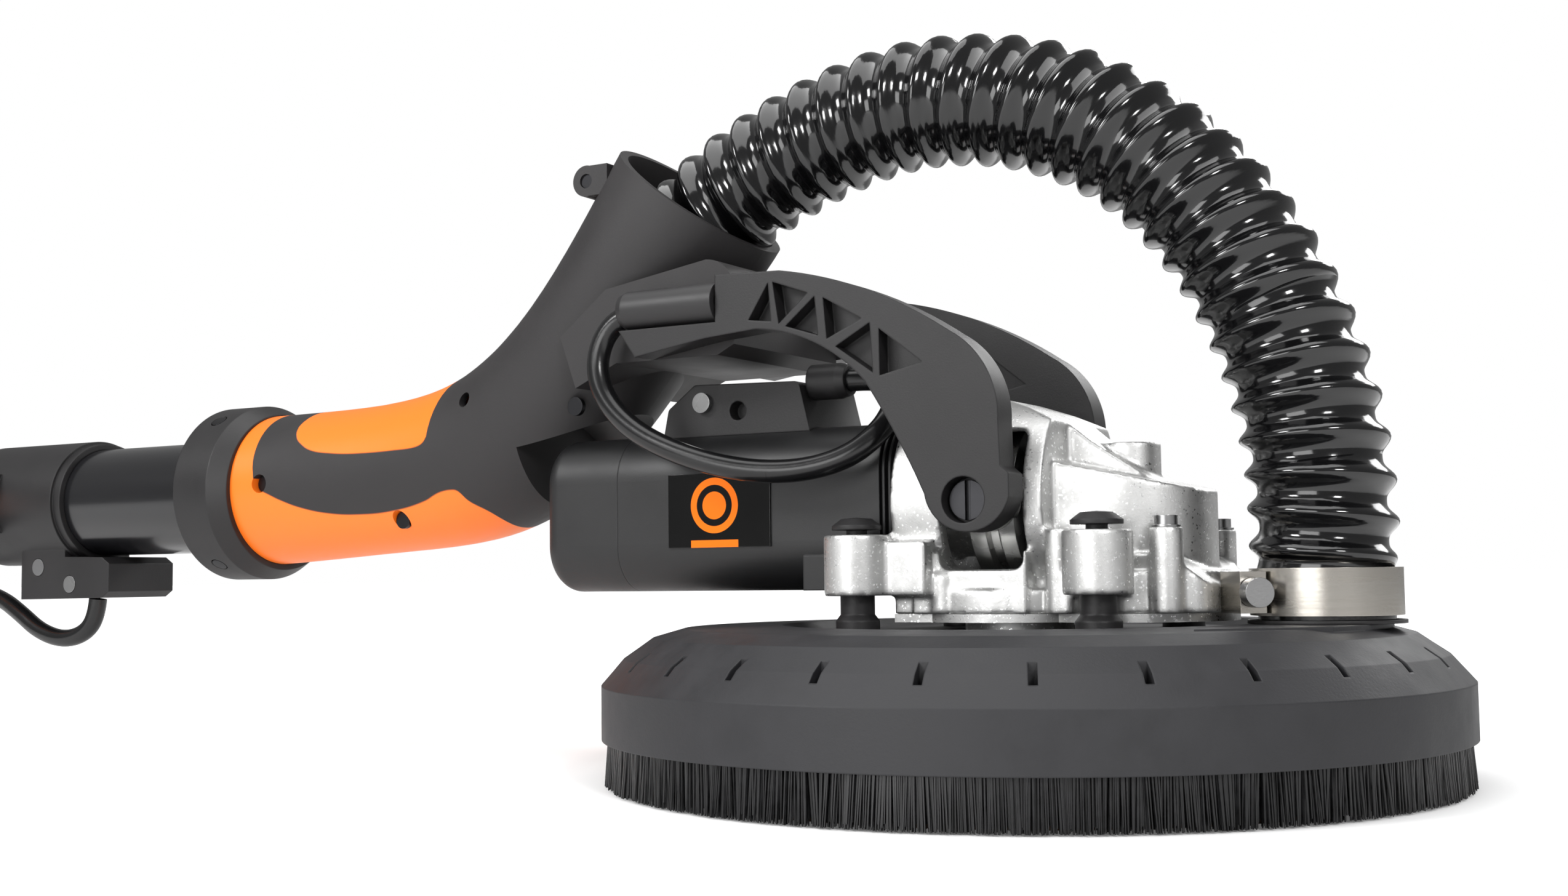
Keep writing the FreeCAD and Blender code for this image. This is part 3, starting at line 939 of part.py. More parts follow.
def make_rear():
    z = S.pole_height
    front = S.front_tube_front + 4
    sub_part("rear_tube", tube("rear_tube_body", S.rear_tube_radius, S.rear_tube_radius - S.rear_tube_wall,
                               front - (S.handle_front - 70), (S.handle_front - 70, 0, z), "X"))
    start, end, half = float(S.handle_front), float(S.handle_rear), float(S.handle_width) / 2
    body = slab(side_wire(-half, (start, 115), (end, 119), (end, 0), (end + 150, 0), (end + 214, 67),
                          (start, 71)),
                2 * half)
    body = body.makeFillet(13.0, [edge for edge in body.Edges
                                  if edge.Length > half and abs(edge.tangentAt(0).y) > 0.9])
    body = body.makeFillet(6.0, [edge for edge in body.Edges if abs(abs(edge.CenterOfMass.y) - half) < TINY])
    window = slab(side_wire(-half - 5, (end + 38, 62), (end + 38, 19), (end + 146, 19), (end + 184, 62)),
                  2 * half + 10)
    window = window.makeFillet(9.0, [edge for edge in window.Edges if abs(edge.tangentAt(0).y) > 0.9])
    body = body.cut(window)
    bore = Part.makeCylinder(float(S.rear_tube_radius), 400, Vector(end - 20, 0, float(z)), Vector(1, 0, 0))
    trigger_pocket = Part.makeBox(34, 15, 14.5, Vector(end + 118, -7.5, 61))
    dial_slot = Part.makeCylinder(14.0, 9.4, Vector(end + 10.5, -4.7, 46), Vector(0, 1, 0))
    button_bore = Part.makeCylinder(5.2, 16, Vector(end + 185, -half - 1, 68.5), Vector(0, 1, 0))
    screw_places = ((end + 20, 82), (end + 20, 20), (end + 132, 9), (end + 196, 110.5 + 1.5),
                    (start - 14, 76), (end + 60, 112.5))
    seats = Part.makeCompound([Part.makeCylinder(3.4, 8, Vector(x, -half - 1, h), Vector(0, 1, 0)) for x,
                               h in screw_places])
    gland_bore = Part.makeCylinder(6.0, 20, Vector(end - 5, 0, 22), Vector(1, 0, 0))
    cord_bore = Part.makeCylinder(float(S.curl_radius), 3, Vector(start - 3, 0, 59), Vector(1, 0, 0))
    body = body.cut(Part.makeCompound([bore])).cut(trigger_pocket).cut(dial_slot).cut(button_bore).cut(seats)
    body = body.cut(gland_bore).cut(cord_bore)
    for side, name in ((1, "handle_left"), (-1, "handle_right")):
        half_box = Part.makeBox(400, 60, 300, Vector(end - 40, 0 if side > 0 else -60, -50))
        sub_part(name, shape_part(name + "_shell", body.common(half_box)))
    sub_part("handle_screws", shape_part("handle_screw_set", Part.makeCompound(
        [Part.makeCylinder(3.1, 2.6, Vector(x, -half + 3.0, h), Vector(0, 1, 0)) for x, h in screw_places])))
    trigger = slab(side_wire(-7.0, (end + 119, 70), (end + 119, 58), ((end + 124, 54), (end + 132, 55.5)),
                             ((end + 142, 57), (end + 150.5, 59.5)), (end + 150.5, 70)), 14.0)
    sub_part("trigger", shape_part("trigger_shape", trigger))
    sub_part("lock_button", shape_part("lock_button_shape", Part.makeCylinder(
        5.0, 12, Vector(end + 185, -half - 2.5, 68.5), Vector(0, 1, 0))))
    dial = Part.makeCylinder(13.4, 8.6, Vector(end + 10.5, -4.3, 46), Vector(0, 1, 0))
    sub_part("speed_dial", shape_part("speed_dial_shape", dial))
    sub_part("hose_outlet", turned("outlet_body", [
        (S.outlet_bore_radius, 0), (S.outlet_bore_radius + 3.2, 0),
        (S.outlet_bore_radius + 3.2, S.outlet_length),
        (S.outlet_bore_radius + 8, S.outlet_length), (S.outlet_bore_radius + 8, S.outlet_length + 3),
        (S.rear_tube_radius, S.outlet_length + 3), (S.rear_tube_radius, S.outlet_length + 20),
        (S.outlet_bore_radius, S.outlet_length + 20)], (S.handle_rear - S.outlet_length - 3, 0, z), "X"))
    sub_part("mains_inlet", turned("inlet_body", [
        (0, 15), (6.0, 15), (6.0, 5), (8.5, 5), (8.5, 2), (5.5, 0), (4.0, 0), (4.0, 8), (0, 8)],
        (S.handle_rear - 5, 0, 22), "X"))


# ---------------------------------------------------------------- the whole tool

def check_and_write():
    DOCUMENT.recompute()
    faults = [item.Name for item in DOCUMENT.Objects if {"Invalid", "Error"} & set(item.State)]
    if faults:
        raise ValueError("failed objects: " + ", ".join(faults))
    for thing in SUB_PARTS:
        if thing.Shape.isNull() or not thing.Shape.isValid() or not thing.Shape.Solids:
            raise ValueError(thing.Label + " is not a valid solid")
    os.makedirs("parts", exist_ok=True)
    for thing in SUB_PARTS:
        thing.Shape.exportStep("parts/%s.step" % thing.Label)
    print(len(SUB_PARTS), "sub-parts written")


make_pad()
make_gears()
make_skirt()
make_posts()
make_spout()
case_screws = make_housing()
make_gimbal()
terminal_screws = make_motor()
make_armature()
grip_screws = make_grip()
make_fork()
collar_screws = make_pole()
make_rear()
sub_part("head_screws", shape_part("head_screw_set", Part.makeCompound(case_screws + terminal_screws)))
sub_part("grip_screws", shape_part("grip_screw_set", Part.makeCompound(grip_screws + collar_screws)))
cord_solid("dust_hose", HOSE_ROUTE, S.hose_radius, S.hose_radius - S.hose_wall)
cord_solid("yoke_cable", YOKE_CABLE_ROUTE, S.cable_radius)
cord_solid("pole_cable", POLE_CABLE_ROUTE, S.cable_radius)
cord_solid("curly_cable", CURLY_CABLE_ROUTE, S.curl_radius)
check_and_write()
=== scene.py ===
"""Looks of a long-reach drywall sander: ribbed dust hose, cables, brush, gear case, and every finish."""
import math

import bpy
import bmesh
from mathutils import Matrix, Vector


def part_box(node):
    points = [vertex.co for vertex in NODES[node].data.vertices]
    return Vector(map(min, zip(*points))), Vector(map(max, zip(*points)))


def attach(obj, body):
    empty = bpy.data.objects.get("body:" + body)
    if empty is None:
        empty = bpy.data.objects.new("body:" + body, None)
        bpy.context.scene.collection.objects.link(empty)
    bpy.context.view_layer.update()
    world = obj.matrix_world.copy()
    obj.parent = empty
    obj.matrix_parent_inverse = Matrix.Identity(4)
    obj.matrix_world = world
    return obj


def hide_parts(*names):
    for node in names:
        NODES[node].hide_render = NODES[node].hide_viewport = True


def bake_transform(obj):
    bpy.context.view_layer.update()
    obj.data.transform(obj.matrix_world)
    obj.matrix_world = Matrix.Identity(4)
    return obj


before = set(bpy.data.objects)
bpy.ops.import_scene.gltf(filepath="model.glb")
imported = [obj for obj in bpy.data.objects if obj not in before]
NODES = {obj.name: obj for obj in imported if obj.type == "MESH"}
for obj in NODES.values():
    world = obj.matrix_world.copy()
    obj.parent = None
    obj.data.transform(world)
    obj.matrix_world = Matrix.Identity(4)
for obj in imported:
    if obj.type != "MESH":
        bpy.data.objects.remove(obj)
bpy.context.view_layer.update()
MM = 0.001


# ---------------------------------------------------------------- camera

VIEW_TURN, VIEW_RISE, VIEW_LEAN = 30.0, 4.0, -0.68
VIEW_SPOT = (0.2100, -0.5053, 0.0601)
LENS, SENSOR = 41.86, 36.0


def place_camera():
    """Low beside the head, looking slightly up past it."""
    turn, rise, lean = (math.radians(angle) for angle in (VIEW_TURN, VIEW_RISE, VIEW_LEAN))
    ahead = Vector((-math.sin(turn) * math.cos(rise), math.cos(turn) * math.cos(rise), math.sin(rise)))
    side = Vector((math.cos(turn), math.sin(turn), 0.0))
    above = side.cross(ahead)
    right = math.cos(lean) * side + math.sin(lean) * above
    top = -math.sin(lean) * side + math.cos(lean) * above
    lens = bpy.data.cameras.new("view")
    lens.sensor_width = SENSOR
    lens.lens = LENS
    lens.clip_start = 0.01
    camera = bpy.data.objects.new("view", lens)
    bpy.context.scene.collection.objects.link(camera)
    facing = Matrix((right, top, -ahead)).transposed().to_4x4()
    camera.matrix_world = Matrix.Translation(VIEW_SPOT) @ facing
    bpy.context.scene.camera = camera


# ---------------------------------------------------------------- nodes and colours

def add(tree, kind, inputs=None, **settings):
    """Adds a node: settings are its properties; inputs go in by name or number, as values or sockets."""
    node = tree.nodes.new(kind)
    for name, value in settings.items():
        setattr(node, name, value)
    for key, value in (inputs or {}).items():
        if isinstance(value, bpy.types.NodeSocket):
            tree.links.new(value, node.inputs[key])
        else:
            node.inputs[key].default_value = value
    return node


def paint(code):
    """An sRGB hex colour as linear RGBA."""
    parts = [int(code[i:i + 2], 16) / 255 for i in (1, 3, 5)]
    return [c / 12.92 if c <= 0.04045 else ((c + 0.055) / 1.055) ** 2.4 for c in parts] + [1.0]


def finish(name, colour, rough, metallic=0.0, grain=0.0, depth=0.0, mottle=0.0, other=None, spread=0.12,
           edge=0.0, rough_noise=0.06, stretch=None, **shader):
    """A solid's finish: a base colour that wanders to another over patches, roughness that varies with it,
    and a fine grain (its size in mm) raised by depth (mm). edge (mm) softens corners in the shading."""
    made = bpy.data.materials.new(name)
    made.use_nodes = True
    tree = made.node_tree
    tree.nodes.clear()
    place = add(tree, "ShaderNodeTexCoord").outputs["Object"]
    if stretch:
        place = add(tree, "ShaderNodeMapping", {"Vector": place, "Scale": stretch}).outputs["Vector"]
    patches = add(tree, "ShaderNodeTexNoise", {"Vector": place, "Scale": 1 / (spread * 0.25), "Detail": 4.0,
                                               "Roughness": 0.6}).outputs["Fac"]
    blend = add(tree, "ShaderNodeMapRange", {"Value": patches, "From Min": 0.35, "From Max": 0.65,
                                             "To Min": 0.0,
                                             "To Max": mottle}).outputs["Result"]
    tint = add(tree, "ShaderNodeMix", {"Factor": blend, 6: paint(colour), 7: paint(other or colour)},
               data_type="RGBA")
    worn = add(tree, "ShaderNodeMapRange", {"Value": patches, "From Min": 0.3, "From Max": 0.7,
                                            "To Min": rough - rough_noise, "To Max": rough + rough_noise})
    surface = add(tree, "ShaderNodeBsdfPrincipled", {"Base Color": tint.outputs[2],
                                                     "Roughness": worn.outputs["Result"],
                                                     "Metallic": metallic})
    for socket, value in shader.items():
        surface.inputs[socket.replace("_", " ")].default_value = value
    shape = None
    if edge:
        shape = add(tree, "ShaderNodeBevel", {"Radius": edge * MM}, samples=6).outputs["Normal"]
    if grain:
        dots = add(tree, "ShaderNodeTexNoise", {"Vector": place, "Scale": 1 / (grain * MM), "Detail": 3.0,
                                                "Roughness": 0.65}).outputs["Fac"]
        bump = add(tree, "ShaderNodeBump", {"Height": dots, "Distance": depth * MM, "Strength": 1.0})
        if shape:
            tree.links.new(shape, bump.inputs["Normal"])
        shape = bump.outputs["Normal"]
    if shape:
        tree.links.new(shape, surface.inputs["Normal"])
    add(tree, "ShaderNodeOutputMaterial", {"Surface": surface.outputs["BSDF"]})
    surface.name = "surface"
    return made


# ---------------------------------------------------------------- meshes

def piece(name, made, finish_of, smooth=40.0):
    """A finished mesh object from a bmesh, at the origin, with its faces smooth up to an angle."""
    mesh = bpy.data.meshes.new(name)
    made.to_mesh(mesh)
    made.free()
    mesh.materials.append(finish_of)
    item = bpy.data.objects.new(name, mesh)
    bpy.context.scene.collection.objects.link(item)
    mesh.shade_smooth()
    mesh.set_sharp_from_angle(angle=math.radians(smooth))
    return item


def line_of(name, points, steps):
    """The smooth line through a route: a NURBS spline's own points, read back in order."""
    curve = bpy.data.curves.new(name + "_route", "CURVE")
    curve.dimensions = "3D"
    curve.resolution_u = steps
    spline = curve.splines.new("NURBS")
    spline.points.add(len(points) - 1)
    for held, (x, y, z) in zip(spline.points, points):
        held.co = (x * MM, y * MM, z * MM, 1.0)
    spline.order_u = 3
    spline.use_endpoint_u = True
    carrier = bpy.data.objects.new(name + "_route", curve)
    bpy.context.scene.collection.objects.link(carrier)
    bpy.context.view_layer.update()
    mesh = bpy.data.meshes.new_from_object(carrier.evaluated_get(bpy.context.evaluated_depsgraph_get()))
    found = [v.co.copy() for v in mesh.vertices]
    bpy.data.objects.remove(carrier)
    bpy.data.meshes.remove(mesh)
    bpy.data.curves.remove(curve)
    return found


def evenly(points, step):
    """The same line at even steps, with its whole length."""
    marks = [0.0]
    for a, b in zip(points, points[1:]):
        marks.append(marks[-1] + (b - a).length)
    count = max(2, round(marks[-1] / step))
    out, k = [], 0
    for i in range(count + 1):
        want = marks[-1] * i / count
        while k < len(marks) - 2 and marks[k + 1] < want:
            k += 1
        span = marks[k + 1] - marks[k]
        out.append(points[k].lerp(points[k + 1], (want - marks[k]) / span if span else 0.0))
    return out, marks[-1]


def frames_along(points, first=Vector((0.0, 1.0, 0.0))):
    """A steady pair of cross directions at each point of a line."""
    out, across = [], first
    for i, point in enumerate(points):
        ahead = (points[min(i + 1, len(points) - 1)] - points[max(i - 1, 0)]).normalized()
        across = (across - ahead * across.dot(ahead)).normalized()
        out.append((point, across, ahead.cross(across).normalized()))
    return out


def tube_along(made, stations, radii, sides, close=True):
    """Rings along a line: radii[i] is a number, or a function of the angle. Returns the rings."""
    rings = []
    for (point, across, other), radius in zip(stations, radii):
        ring = []
        for k in range(sides):
            turn = 2 * math.pi * k / sides
            size = radius(turn) if callable(radius) else radius
            ring.append(made.verts.new(point + (across * math.cos(turn) + other * math.sin(turn)) * size))
        rings.append(ring)
    for a, b in zip(rings, rings[1:]):
        for k in range(sides):
            made.faces.new((a[k], a[(k + 1) % sides], b[(k + 1) % sides], b[k]))
    if close:
        for ring, flip in ((rings[0], True), (rings[-1], False)):
            made.faces.new(list(reversed(ring)) if flip else ring)
    return rings


def outward(made):
    bmesh.ops.recalc_face_normals(made, faces=made.faces)


def softened(node, name, look, body, voxel, rounds, keep):
    """A casting with its edges rounded all over: the solid's own shape, remeshed fine and relaxed."""
    made = bmesh.new()
    made.from_mesh(NODES[node].data)
    bmesh.ops.remove_doubles(made, verts=made.verts, dist=0.002 * MM)
    carrier = piece(name + "_carrier", made, look)
    fine = carrier.modifiers.new("fine", "REMESH")
    fine.mode = "VOXEL"
    fine.voxel_size = voxel * MM
    relax = carrier.modifiers.new("relax", "SMOOTH")
    relax.factor, relax.iterations = 0.5, rounds
    thin = carrier.modifiers.new("thin", "DECIMATE")
    thin.ratio = keep
    item = made_by_nodes(carrier, name)
    item.data.materials.clear()
    item.data.materials.append(look)
    item.data.shade_smooth()
    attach(item, body)
    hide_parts(node)
    return item


# ---------------------------------------------------------------- dust hose

HOSE_ROUTE = [
    (-126, 0, 165), (-110, 0, 178.5), (-89, 0, 190.5), (-62, 0, 201), (-33, 0, 206.5), (-4, 0, 203.7),
    (22, 0, 194.5), (44, 0, 179.5), (61, 0, 160.5), (74, 0, 138.5), (83, 0, 114.5), (87.6, 0, 90),
    (88.3, 0, 67.5), (88.3, 0, 46.6)]
HOSE_PITCH = 10.6
HOSE_CREST = 20.0
HOSE_GROOVE = 3.1
HOSE_WALL = 1.2
HOSE_SIDES = 56
HOSE_STEP = 0.7
# the arch ends above the yoke's axis; the foot starts above the floating skirt
ARCH_LENGTH, FOOT_LENGTH = 243.0, 43.0


def make_hose(look):
    """One ribbed hose in three lengths, parted at the yoke's two axes and at the floating skirt."""
    points, whole = evenly(line_of("hose", HOSE_ROUTE, 40), HOSE_STEP * MM)
    stations = frames_along(points)
    step = whole / (len(points) - 1)

    def wall(index):
        along = index * step / MM
        plain = min(1.0, max(0.0, (whole / MM - along - 14.0) / 4.0), max(0.0, along / 3.0))

        def radius(turn):
            phase = along / HOSE_PITCH + turn / (2 * math.pi)
            valley = 1 - abs(math.cos(math.pi * phase)) ** 3.2
            return (HOSE_CREST - 1.9 * (1 - plain) - HOSE_GROOVE * valley * plain) * MM
        return radius

    cuts = [0, round(ARCH_LENGTH * MM / step), round((whole - FOOT_LENGTH * MM) / step), len(points) - 1]
    names = ("dust_hose_arch", "dust_hose_drop", "dust_hose_foot")
    held = (("pole", "gimbal", (-0.105, 0, 0.19), (0.055, 0, 0.19)),
            ("gimbal", "head", (0.08, 0, 0.124), (0.08, 0, 0.094)),
            ("head", "skirt", (0.08, 0, 0.086), (0.08, 0, 0.064)))
    for name, low, high, (a, b, start, end) in zip(names, cuts, cuts[1:], held):
        made = bmesh.new()
        part = stations[low:high + 1]
        lining = part[::8] + [part[-1]]
        bore = (HOSE_CREST - HOSE_GROOVE - HOSE_WALL) * MM
        outer = tube_along(made, part, [wall(i) for i in range(low, high + 1)], HOSE_SIDES, close=False)
        inner = tube_along(made, lining, [bore] * len(lining), HOSE_SIDES, close=False)
        for one, two in ((outer[0], inner[0]), (outer[-1], inner[-1])):
            for k in range(HOSE_SIDES):
                after = (k + 1) % HOSE_SIDES
                made.faces.new((one[k], one[after], two[after], two[k]))
        outward(made)
        item = piece(name, made, look, smooth=80)
        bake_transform(item)
        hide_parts("dust_hose")


# ---------------------------------------------------------------- cables

YOKE_CABLE_ROUTE = [
    (-104, -39.2, 143), (-115, -39.4, 142.5), (-123, -40.5, 136.5), (-125.5, -41.8, 126),
    (-121, -42.8, 114.5),
    (-109, -43, 104), (-92, -42.5, 96.5), (-73, -41, 91.5), (-55, -38.8, 90.5), (-40, -35.6, 94),
    (-31.5, -31, 101.5), (-30, -24, 109), (-34, -14, 116.5), (-42, -10, 120), (-52, -10, 120)]
POLE_CABLE_ROUTE = [
    (-398, -6, 54), (-399, -6, 46), (-406, -6.5, 39.5), (-418, -7, 37.5), (-432, -7, 41), (-445, -6, 48),
    (-459, -4, 54), (-476, -2, 57.5), (-494, 0, 58)]
CURLY_CABLE_ROUTE = [(-494, 0, 58), (-540, 0, 57), (-592, 0, 56), (-644, 0, 57), (-690, 0, 59)]
CABLE_RADIUS = 3.5
CURL_TURNS, CURL_RADIUS, CURL_WIRE_RADIUS = 26, 8.0, 2.3


def make_cable(name, points, look, node, radius=CABLE_RADIUS, sides=24):
    """A round cable on its line."""
    made = bmesh.new()
    tube_along(made, frames_along(points), [radius * MM] * len(points), sides)
    outward(made)
    item = piece(name, made, look, smooth=60)
    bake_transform(item)
    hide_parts(node)


def make_cables(look):
    loop, _ = evenly(line_of("yoke_cable", YOKE_CABLE_ROUTE, 24), 1.5 * MM)
    middle = min(range(len(loop)), key=lambda i: abs(loop[i].x + 0.064) + (1 if loop[i].z > 0.1 else 0))
    make_cable("yoke_cable_rear", loop[:middle + 1], look, "yoke_cable")
    make_cable("yoke_cable_front", loop[middle:], look, "yoke_cable")
    low, _ = evenly(line_of("pole_cable", POLE_CABLE_ROUTE, 20), 1.5 * MM)
    make_cable("pole_cable_line", low, look, "pole_cable")
    core, _ = evenly(line_of("curly_cable", CURLY_CABLE_ROUTE, 20), 0.5 * MM)
    turns, wire = CURL_TURNS, CURL_WIRE_RADIUS
    coil = []
    held = frames_along(core)
    steps = turns * 20
    for i in range(steps + 1):
        share = i / steps
        point, across, other = held[min(len(held) - 1, round(share * (len(held) - 1)))]
        lead = min(1.0, share * turns, (1 - share) * turns)
        turn = 2 * math.pi * share * turns
        spot = core[0].lerp(core[-1], share)
        spot = Vector((spot.x, point.y, point.z))
        off = across * math.cos(turn) + other * math.sin(turn)
        coil.append(spot + off * (CURL_RADIUS - wire) * lead * MM)
    make_cable("curly_cable_coil", coil, look, "curly_cable",
               radius=wire, sides=12)


# ---------------------------------------------------------------- brush

def make_bristles(look):
    """Crowded nylon bristles round the rim, built by nodes: uneven, splayed a little, in leaning tufts."""
    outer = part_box("brush_bristles")[1][0]
    tree = bpy.data.node_groups.new("bristle_ring", "GeometryNodeTree")
    for name, kind, value in (("ring_radius", "NodeSocketFloat", outer - 1.2 * MM),
                              ("band_width", "NodeSocketFloat", 2.0 * MM),
                              ("bristle_count", "NodeSocketInt", 7200),
                              ("bristle_length", "NodeSocketFloat", 13.6 * MM),
                              ("bristle_radius", "NodeSocketFloat", 0.34 * MM),
                              ("splay", "NodeSocketFloat", 0.10),
                              ("seed", "NodeSocketInt", 4)):
        socket = tree.interface.new_socket(name, in_out="INPUT", socket_type=kind)
        socket.default_value = value
    tree.interface.new_socket("Geometry", in_out="OUTPUT", socket_type="NodeSocketGeometry")
    given = add(tree, "NodeGroupInput").outputs
    order = add(tree, "GeometryNodeInputIndex").outputs[0]

    def maths(kind, *values):
        return add(tree, "ShaderNodeMath", dict(enumerate(values)), operation=kind).outputs[0]

    def chance(low_end, high_end, shift):
        return add(tree, "FunctionNodeRandomValue", {"Min": low_end, "Max": high_end, "ID": order,
                                                     "Seed": maths("ADD", given["seed"], shift)},
                                                     data_type="FLOAT")

    row = add(tree, "GeometryNodeMeshLine", {"Count": given["bristle_count"], "Offset": (0, 0, 0)})
    turn = maths("MULTIPLY", maths("DIVIDE", order, given["bristle_count"]), 2 * math.pi)
    shift = [c.outputs[1] for c in (chance(-0.5, 0.5, 1), chance(-0.5, 0.5, 2), chance(0.0, 1.0, 3),
                                    chance(-1.0, 1.0, 4))]
    turn = maths("ADD", turn, maths("MULTIPLY", shift[0], 0.004))
    radius = maths("ADD", given["ring_radius"], maths("MULTIPLY", shift[1], given["band_width"]))
    where = add(tree, "ShaderNodeCombineXYZ", {"X": maths("MULTIPLY", maths("COSINE", turn), radius),
                                               "Y": maths("MULTIPLY", maths("SINE", turn), radius),
                                               "Z": 14.0 * MM})
    placed = add(tree, "GeometryNodeSetPosition", {"Geometry": row.outputs[0],
                                                   "Position": where.outputs[0]})
    shaft = add(tree, "GeometryNodeMeshCone", {"Vertices": 5, "Side Segments": 2,
                                               "Radius Top": maths("MULTIPLY", given["bristle_radius"],
                                                                   0.55),
                                               "Radius Bottom": given["bristle_radius"],
                                               "Depth": given["bristle_length"]},
                fill_type="NGON")
    # tufts lean together: a slow wave round the ring, plus a little of each bristle's own
    wave = add(tree, "ShaderNodeTexNoise", {"Vector": where.outputs[0], "Scale": 160.0,
                                            "Detail": 2.0}).outputs["Fac"]
    lean = maths("MULTIPLY", maths("SUBTRACT", wave, 0.5), 0.34)
    tilt_out = maths("ADD", maths("MULTIPLY", shift[3], 0.05), maths("MULTIPLY", shift[1], given["splay"]))
    spin = add(tree, "ShaderNodeCombineXYZ", {"X": lean, "Y": maths("SUBTRACT", math.pi, tilt_out),
                                              "Z": turn})
    size = maths("SUBTRACT", 1.0, maths("MULTIPLY", maths("POWER", shift[2], 3.0), 0.13))
    scale = add(tree, "ShaderNodeCombineXYZ", {"X": 1.0, "Y": 1.0, "Z": size})
    spread = add(tree, "GeometryNodeInstanceOnPoints", {"Points": placed.outputs[0],
                                                        "Instance": shaft.outputs["Mesh"],
                                                        "Rotation": spin.outputs[0],
                                                        "Scale": scale.outputs[0]})
    solid = add(tree, "GeometryNodeRealizeInstances", {0: spread.outputs[0]})
    done = add(tree, "GeometryNodeSetMaterial", {"Geometry": solid.outputs[0], "Material": look})
    add(tree, "NodeGroupOutput", {"Geometry": done.outputs[0]})
    carrier = bpy.data.objects.new("bristle_carrier", bpy.data.meshes.new("bristle_carrier"))
    bpy.context.scene.collection.objects.link(carrier)
    grow = carrier.modifiers.new("bristles", "NODES")
    grow.node_group = tree
    item = made_by_nodes(carrier, "bristles")
    for v in item.data.vertices:
        v.co.z = max(v.co.z, 0.15 * MM)
    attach(item, "skirt")
    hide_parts("brush_bristles")


def made_by_nodes(carrier, name):
    """Turns a node-made object into a plain mesh piece."""
    bpy.context.view_layer.update()
    ready = carrier.evaluated_get(bpy.context.evaluated_depsgraph_get())
    mesh = bpy.data.meshes.new_from_object(ready)
    bpy.data.objects.remove(carrier)
    mesh.name = name
    item = bpy.data.objects.new(name, mesh)
    bpy.context.scene.collection.objects.link(item)
    return item


# ---------------------------------------------------------------- room

def make_room():
    floor = bmesh.new()
    rows = []
    turn = math.radians(VIEW_TURN)
    for along in (-4.0, -2.0, 0.0, 2.0, 5.0, 12.0, 40.0):
        rows.append([floor.verts.new((x * math.cos(turn) - along * math.sin(turn),
                                      x * math.sin(turn) + along * math.cos(turn),
                                      0.0)) for x in (-40, -3, 0, 3, 40)])
    for a, b in zip(rows, rows[1:]):
        for k in range(4):
            floor.faces.new((a[k], a[k + 1], b[k + 1], b[k]))
    paper = bpy.data.materials.new("studio_paper")
    paper.use_nodes = True
    tree = paper.node_tree
    tree.nodes.clear()
    seen = add(tree, "ShaderNodeLightPath").outputs["Is Camera Ray"]
    sheet = add(tree, "ShaderNodeBsdfDiffuse", {"Color": paint("#F4F4F4")})
    # the paper shades near the tool and fades to plain white away from it
    reach = add(tree, "ShaderNodeVectorMath", {0: add(tree, "ShaderNodeTexCoord").outputs["Object"]},
                operation="LENGTH")
    fade = add(tree, "ShaderNodeMapRange", {"Value": reach.outputs["Value"], "From Min": 0.25,
                                            "From Max": 1.3,
                                            "To Min": 0.10, "To Max": 1.0}).outputs["Result"]
    glow = add(tree, "ShaderNodeEmission", {"Color": paint("#FFFFFF"), "Strength": add(
        tree, "ShaderNodeMath", {0: seen, 1: fade}, operation="MULTIPLY").outputs[0]})
    both = add(tree, "ShaderNodeAddShader", {0: sheet.outputs[0], 1: glow.outputs[0]})
    add(tree, "ShaderNodeOutputMaterial", {"Surface": both.outputs[0]})
    piece("floor", floor, paper)
    world = bpy.data.worlds.new("studio")
    bpy.context.scene.world = world
    world.use_nodes = True
    tree = world.node_tree
    tree.nodes.clear()
    seen = add(tree, "ShaderNodeLightPath").outputs["Is Camera Ray"]
    power = add(tree, "ShaderNodeMapRange", {"Value": seen, "To Min": 0.30, "To Max": 1.0})
    sky = add(tree, "ShaderNodeBackground", {"Color": (1, 1, 1, 1), "Strength": power.outputs["Result"]})
    add(tree, "ShaderNodeOutputWorld", {"Surface": sky.outputs[0]})
    for name, spot, aim, size, power in (
            ("top_soft", (-0.15, -0.15, 1.25), (-0.1, 0, 0.1), (1.4, 1.0), 11.0),
            ("left_key", (-0.85, -1.15, 0.95), (-0.1, 0, 0.1), (0.40, 0.40), 12.0),
            ("right_key", (0.95, -0.85, 0.75), (0.0, 0, 0.1), (0.28, 0.28), 8.0),
            ("back_rim", (0.3, 1.2, 0.8), (0, 0, 0.1), (1.2, 0.4), 8.0),
            ("front_fill", (-0.25, -1.6, 0.35), (-0.05, 0, 0.08), (1.0, 0.6), 9.0)):
        lamp = bpy.data.lights.new(name, "AREA")
        lamp.shape = "RECTANGLE"
        lamp.size, lamp.size_y = size
        lamp.energy = power
        item = bpy.data.objects.new(name, lamp)
        bpy.context.scene.collection.objects.link(item)
        facing = (Vector(aim) - Vector(spot)).to_track_quat("-Z", "Y").to_matrix().to_4x4()
        item.matrix_world = Matrix.Translation(spot) @ facing


# ---------------------------------------------------------------- finishes of the frame's own solids

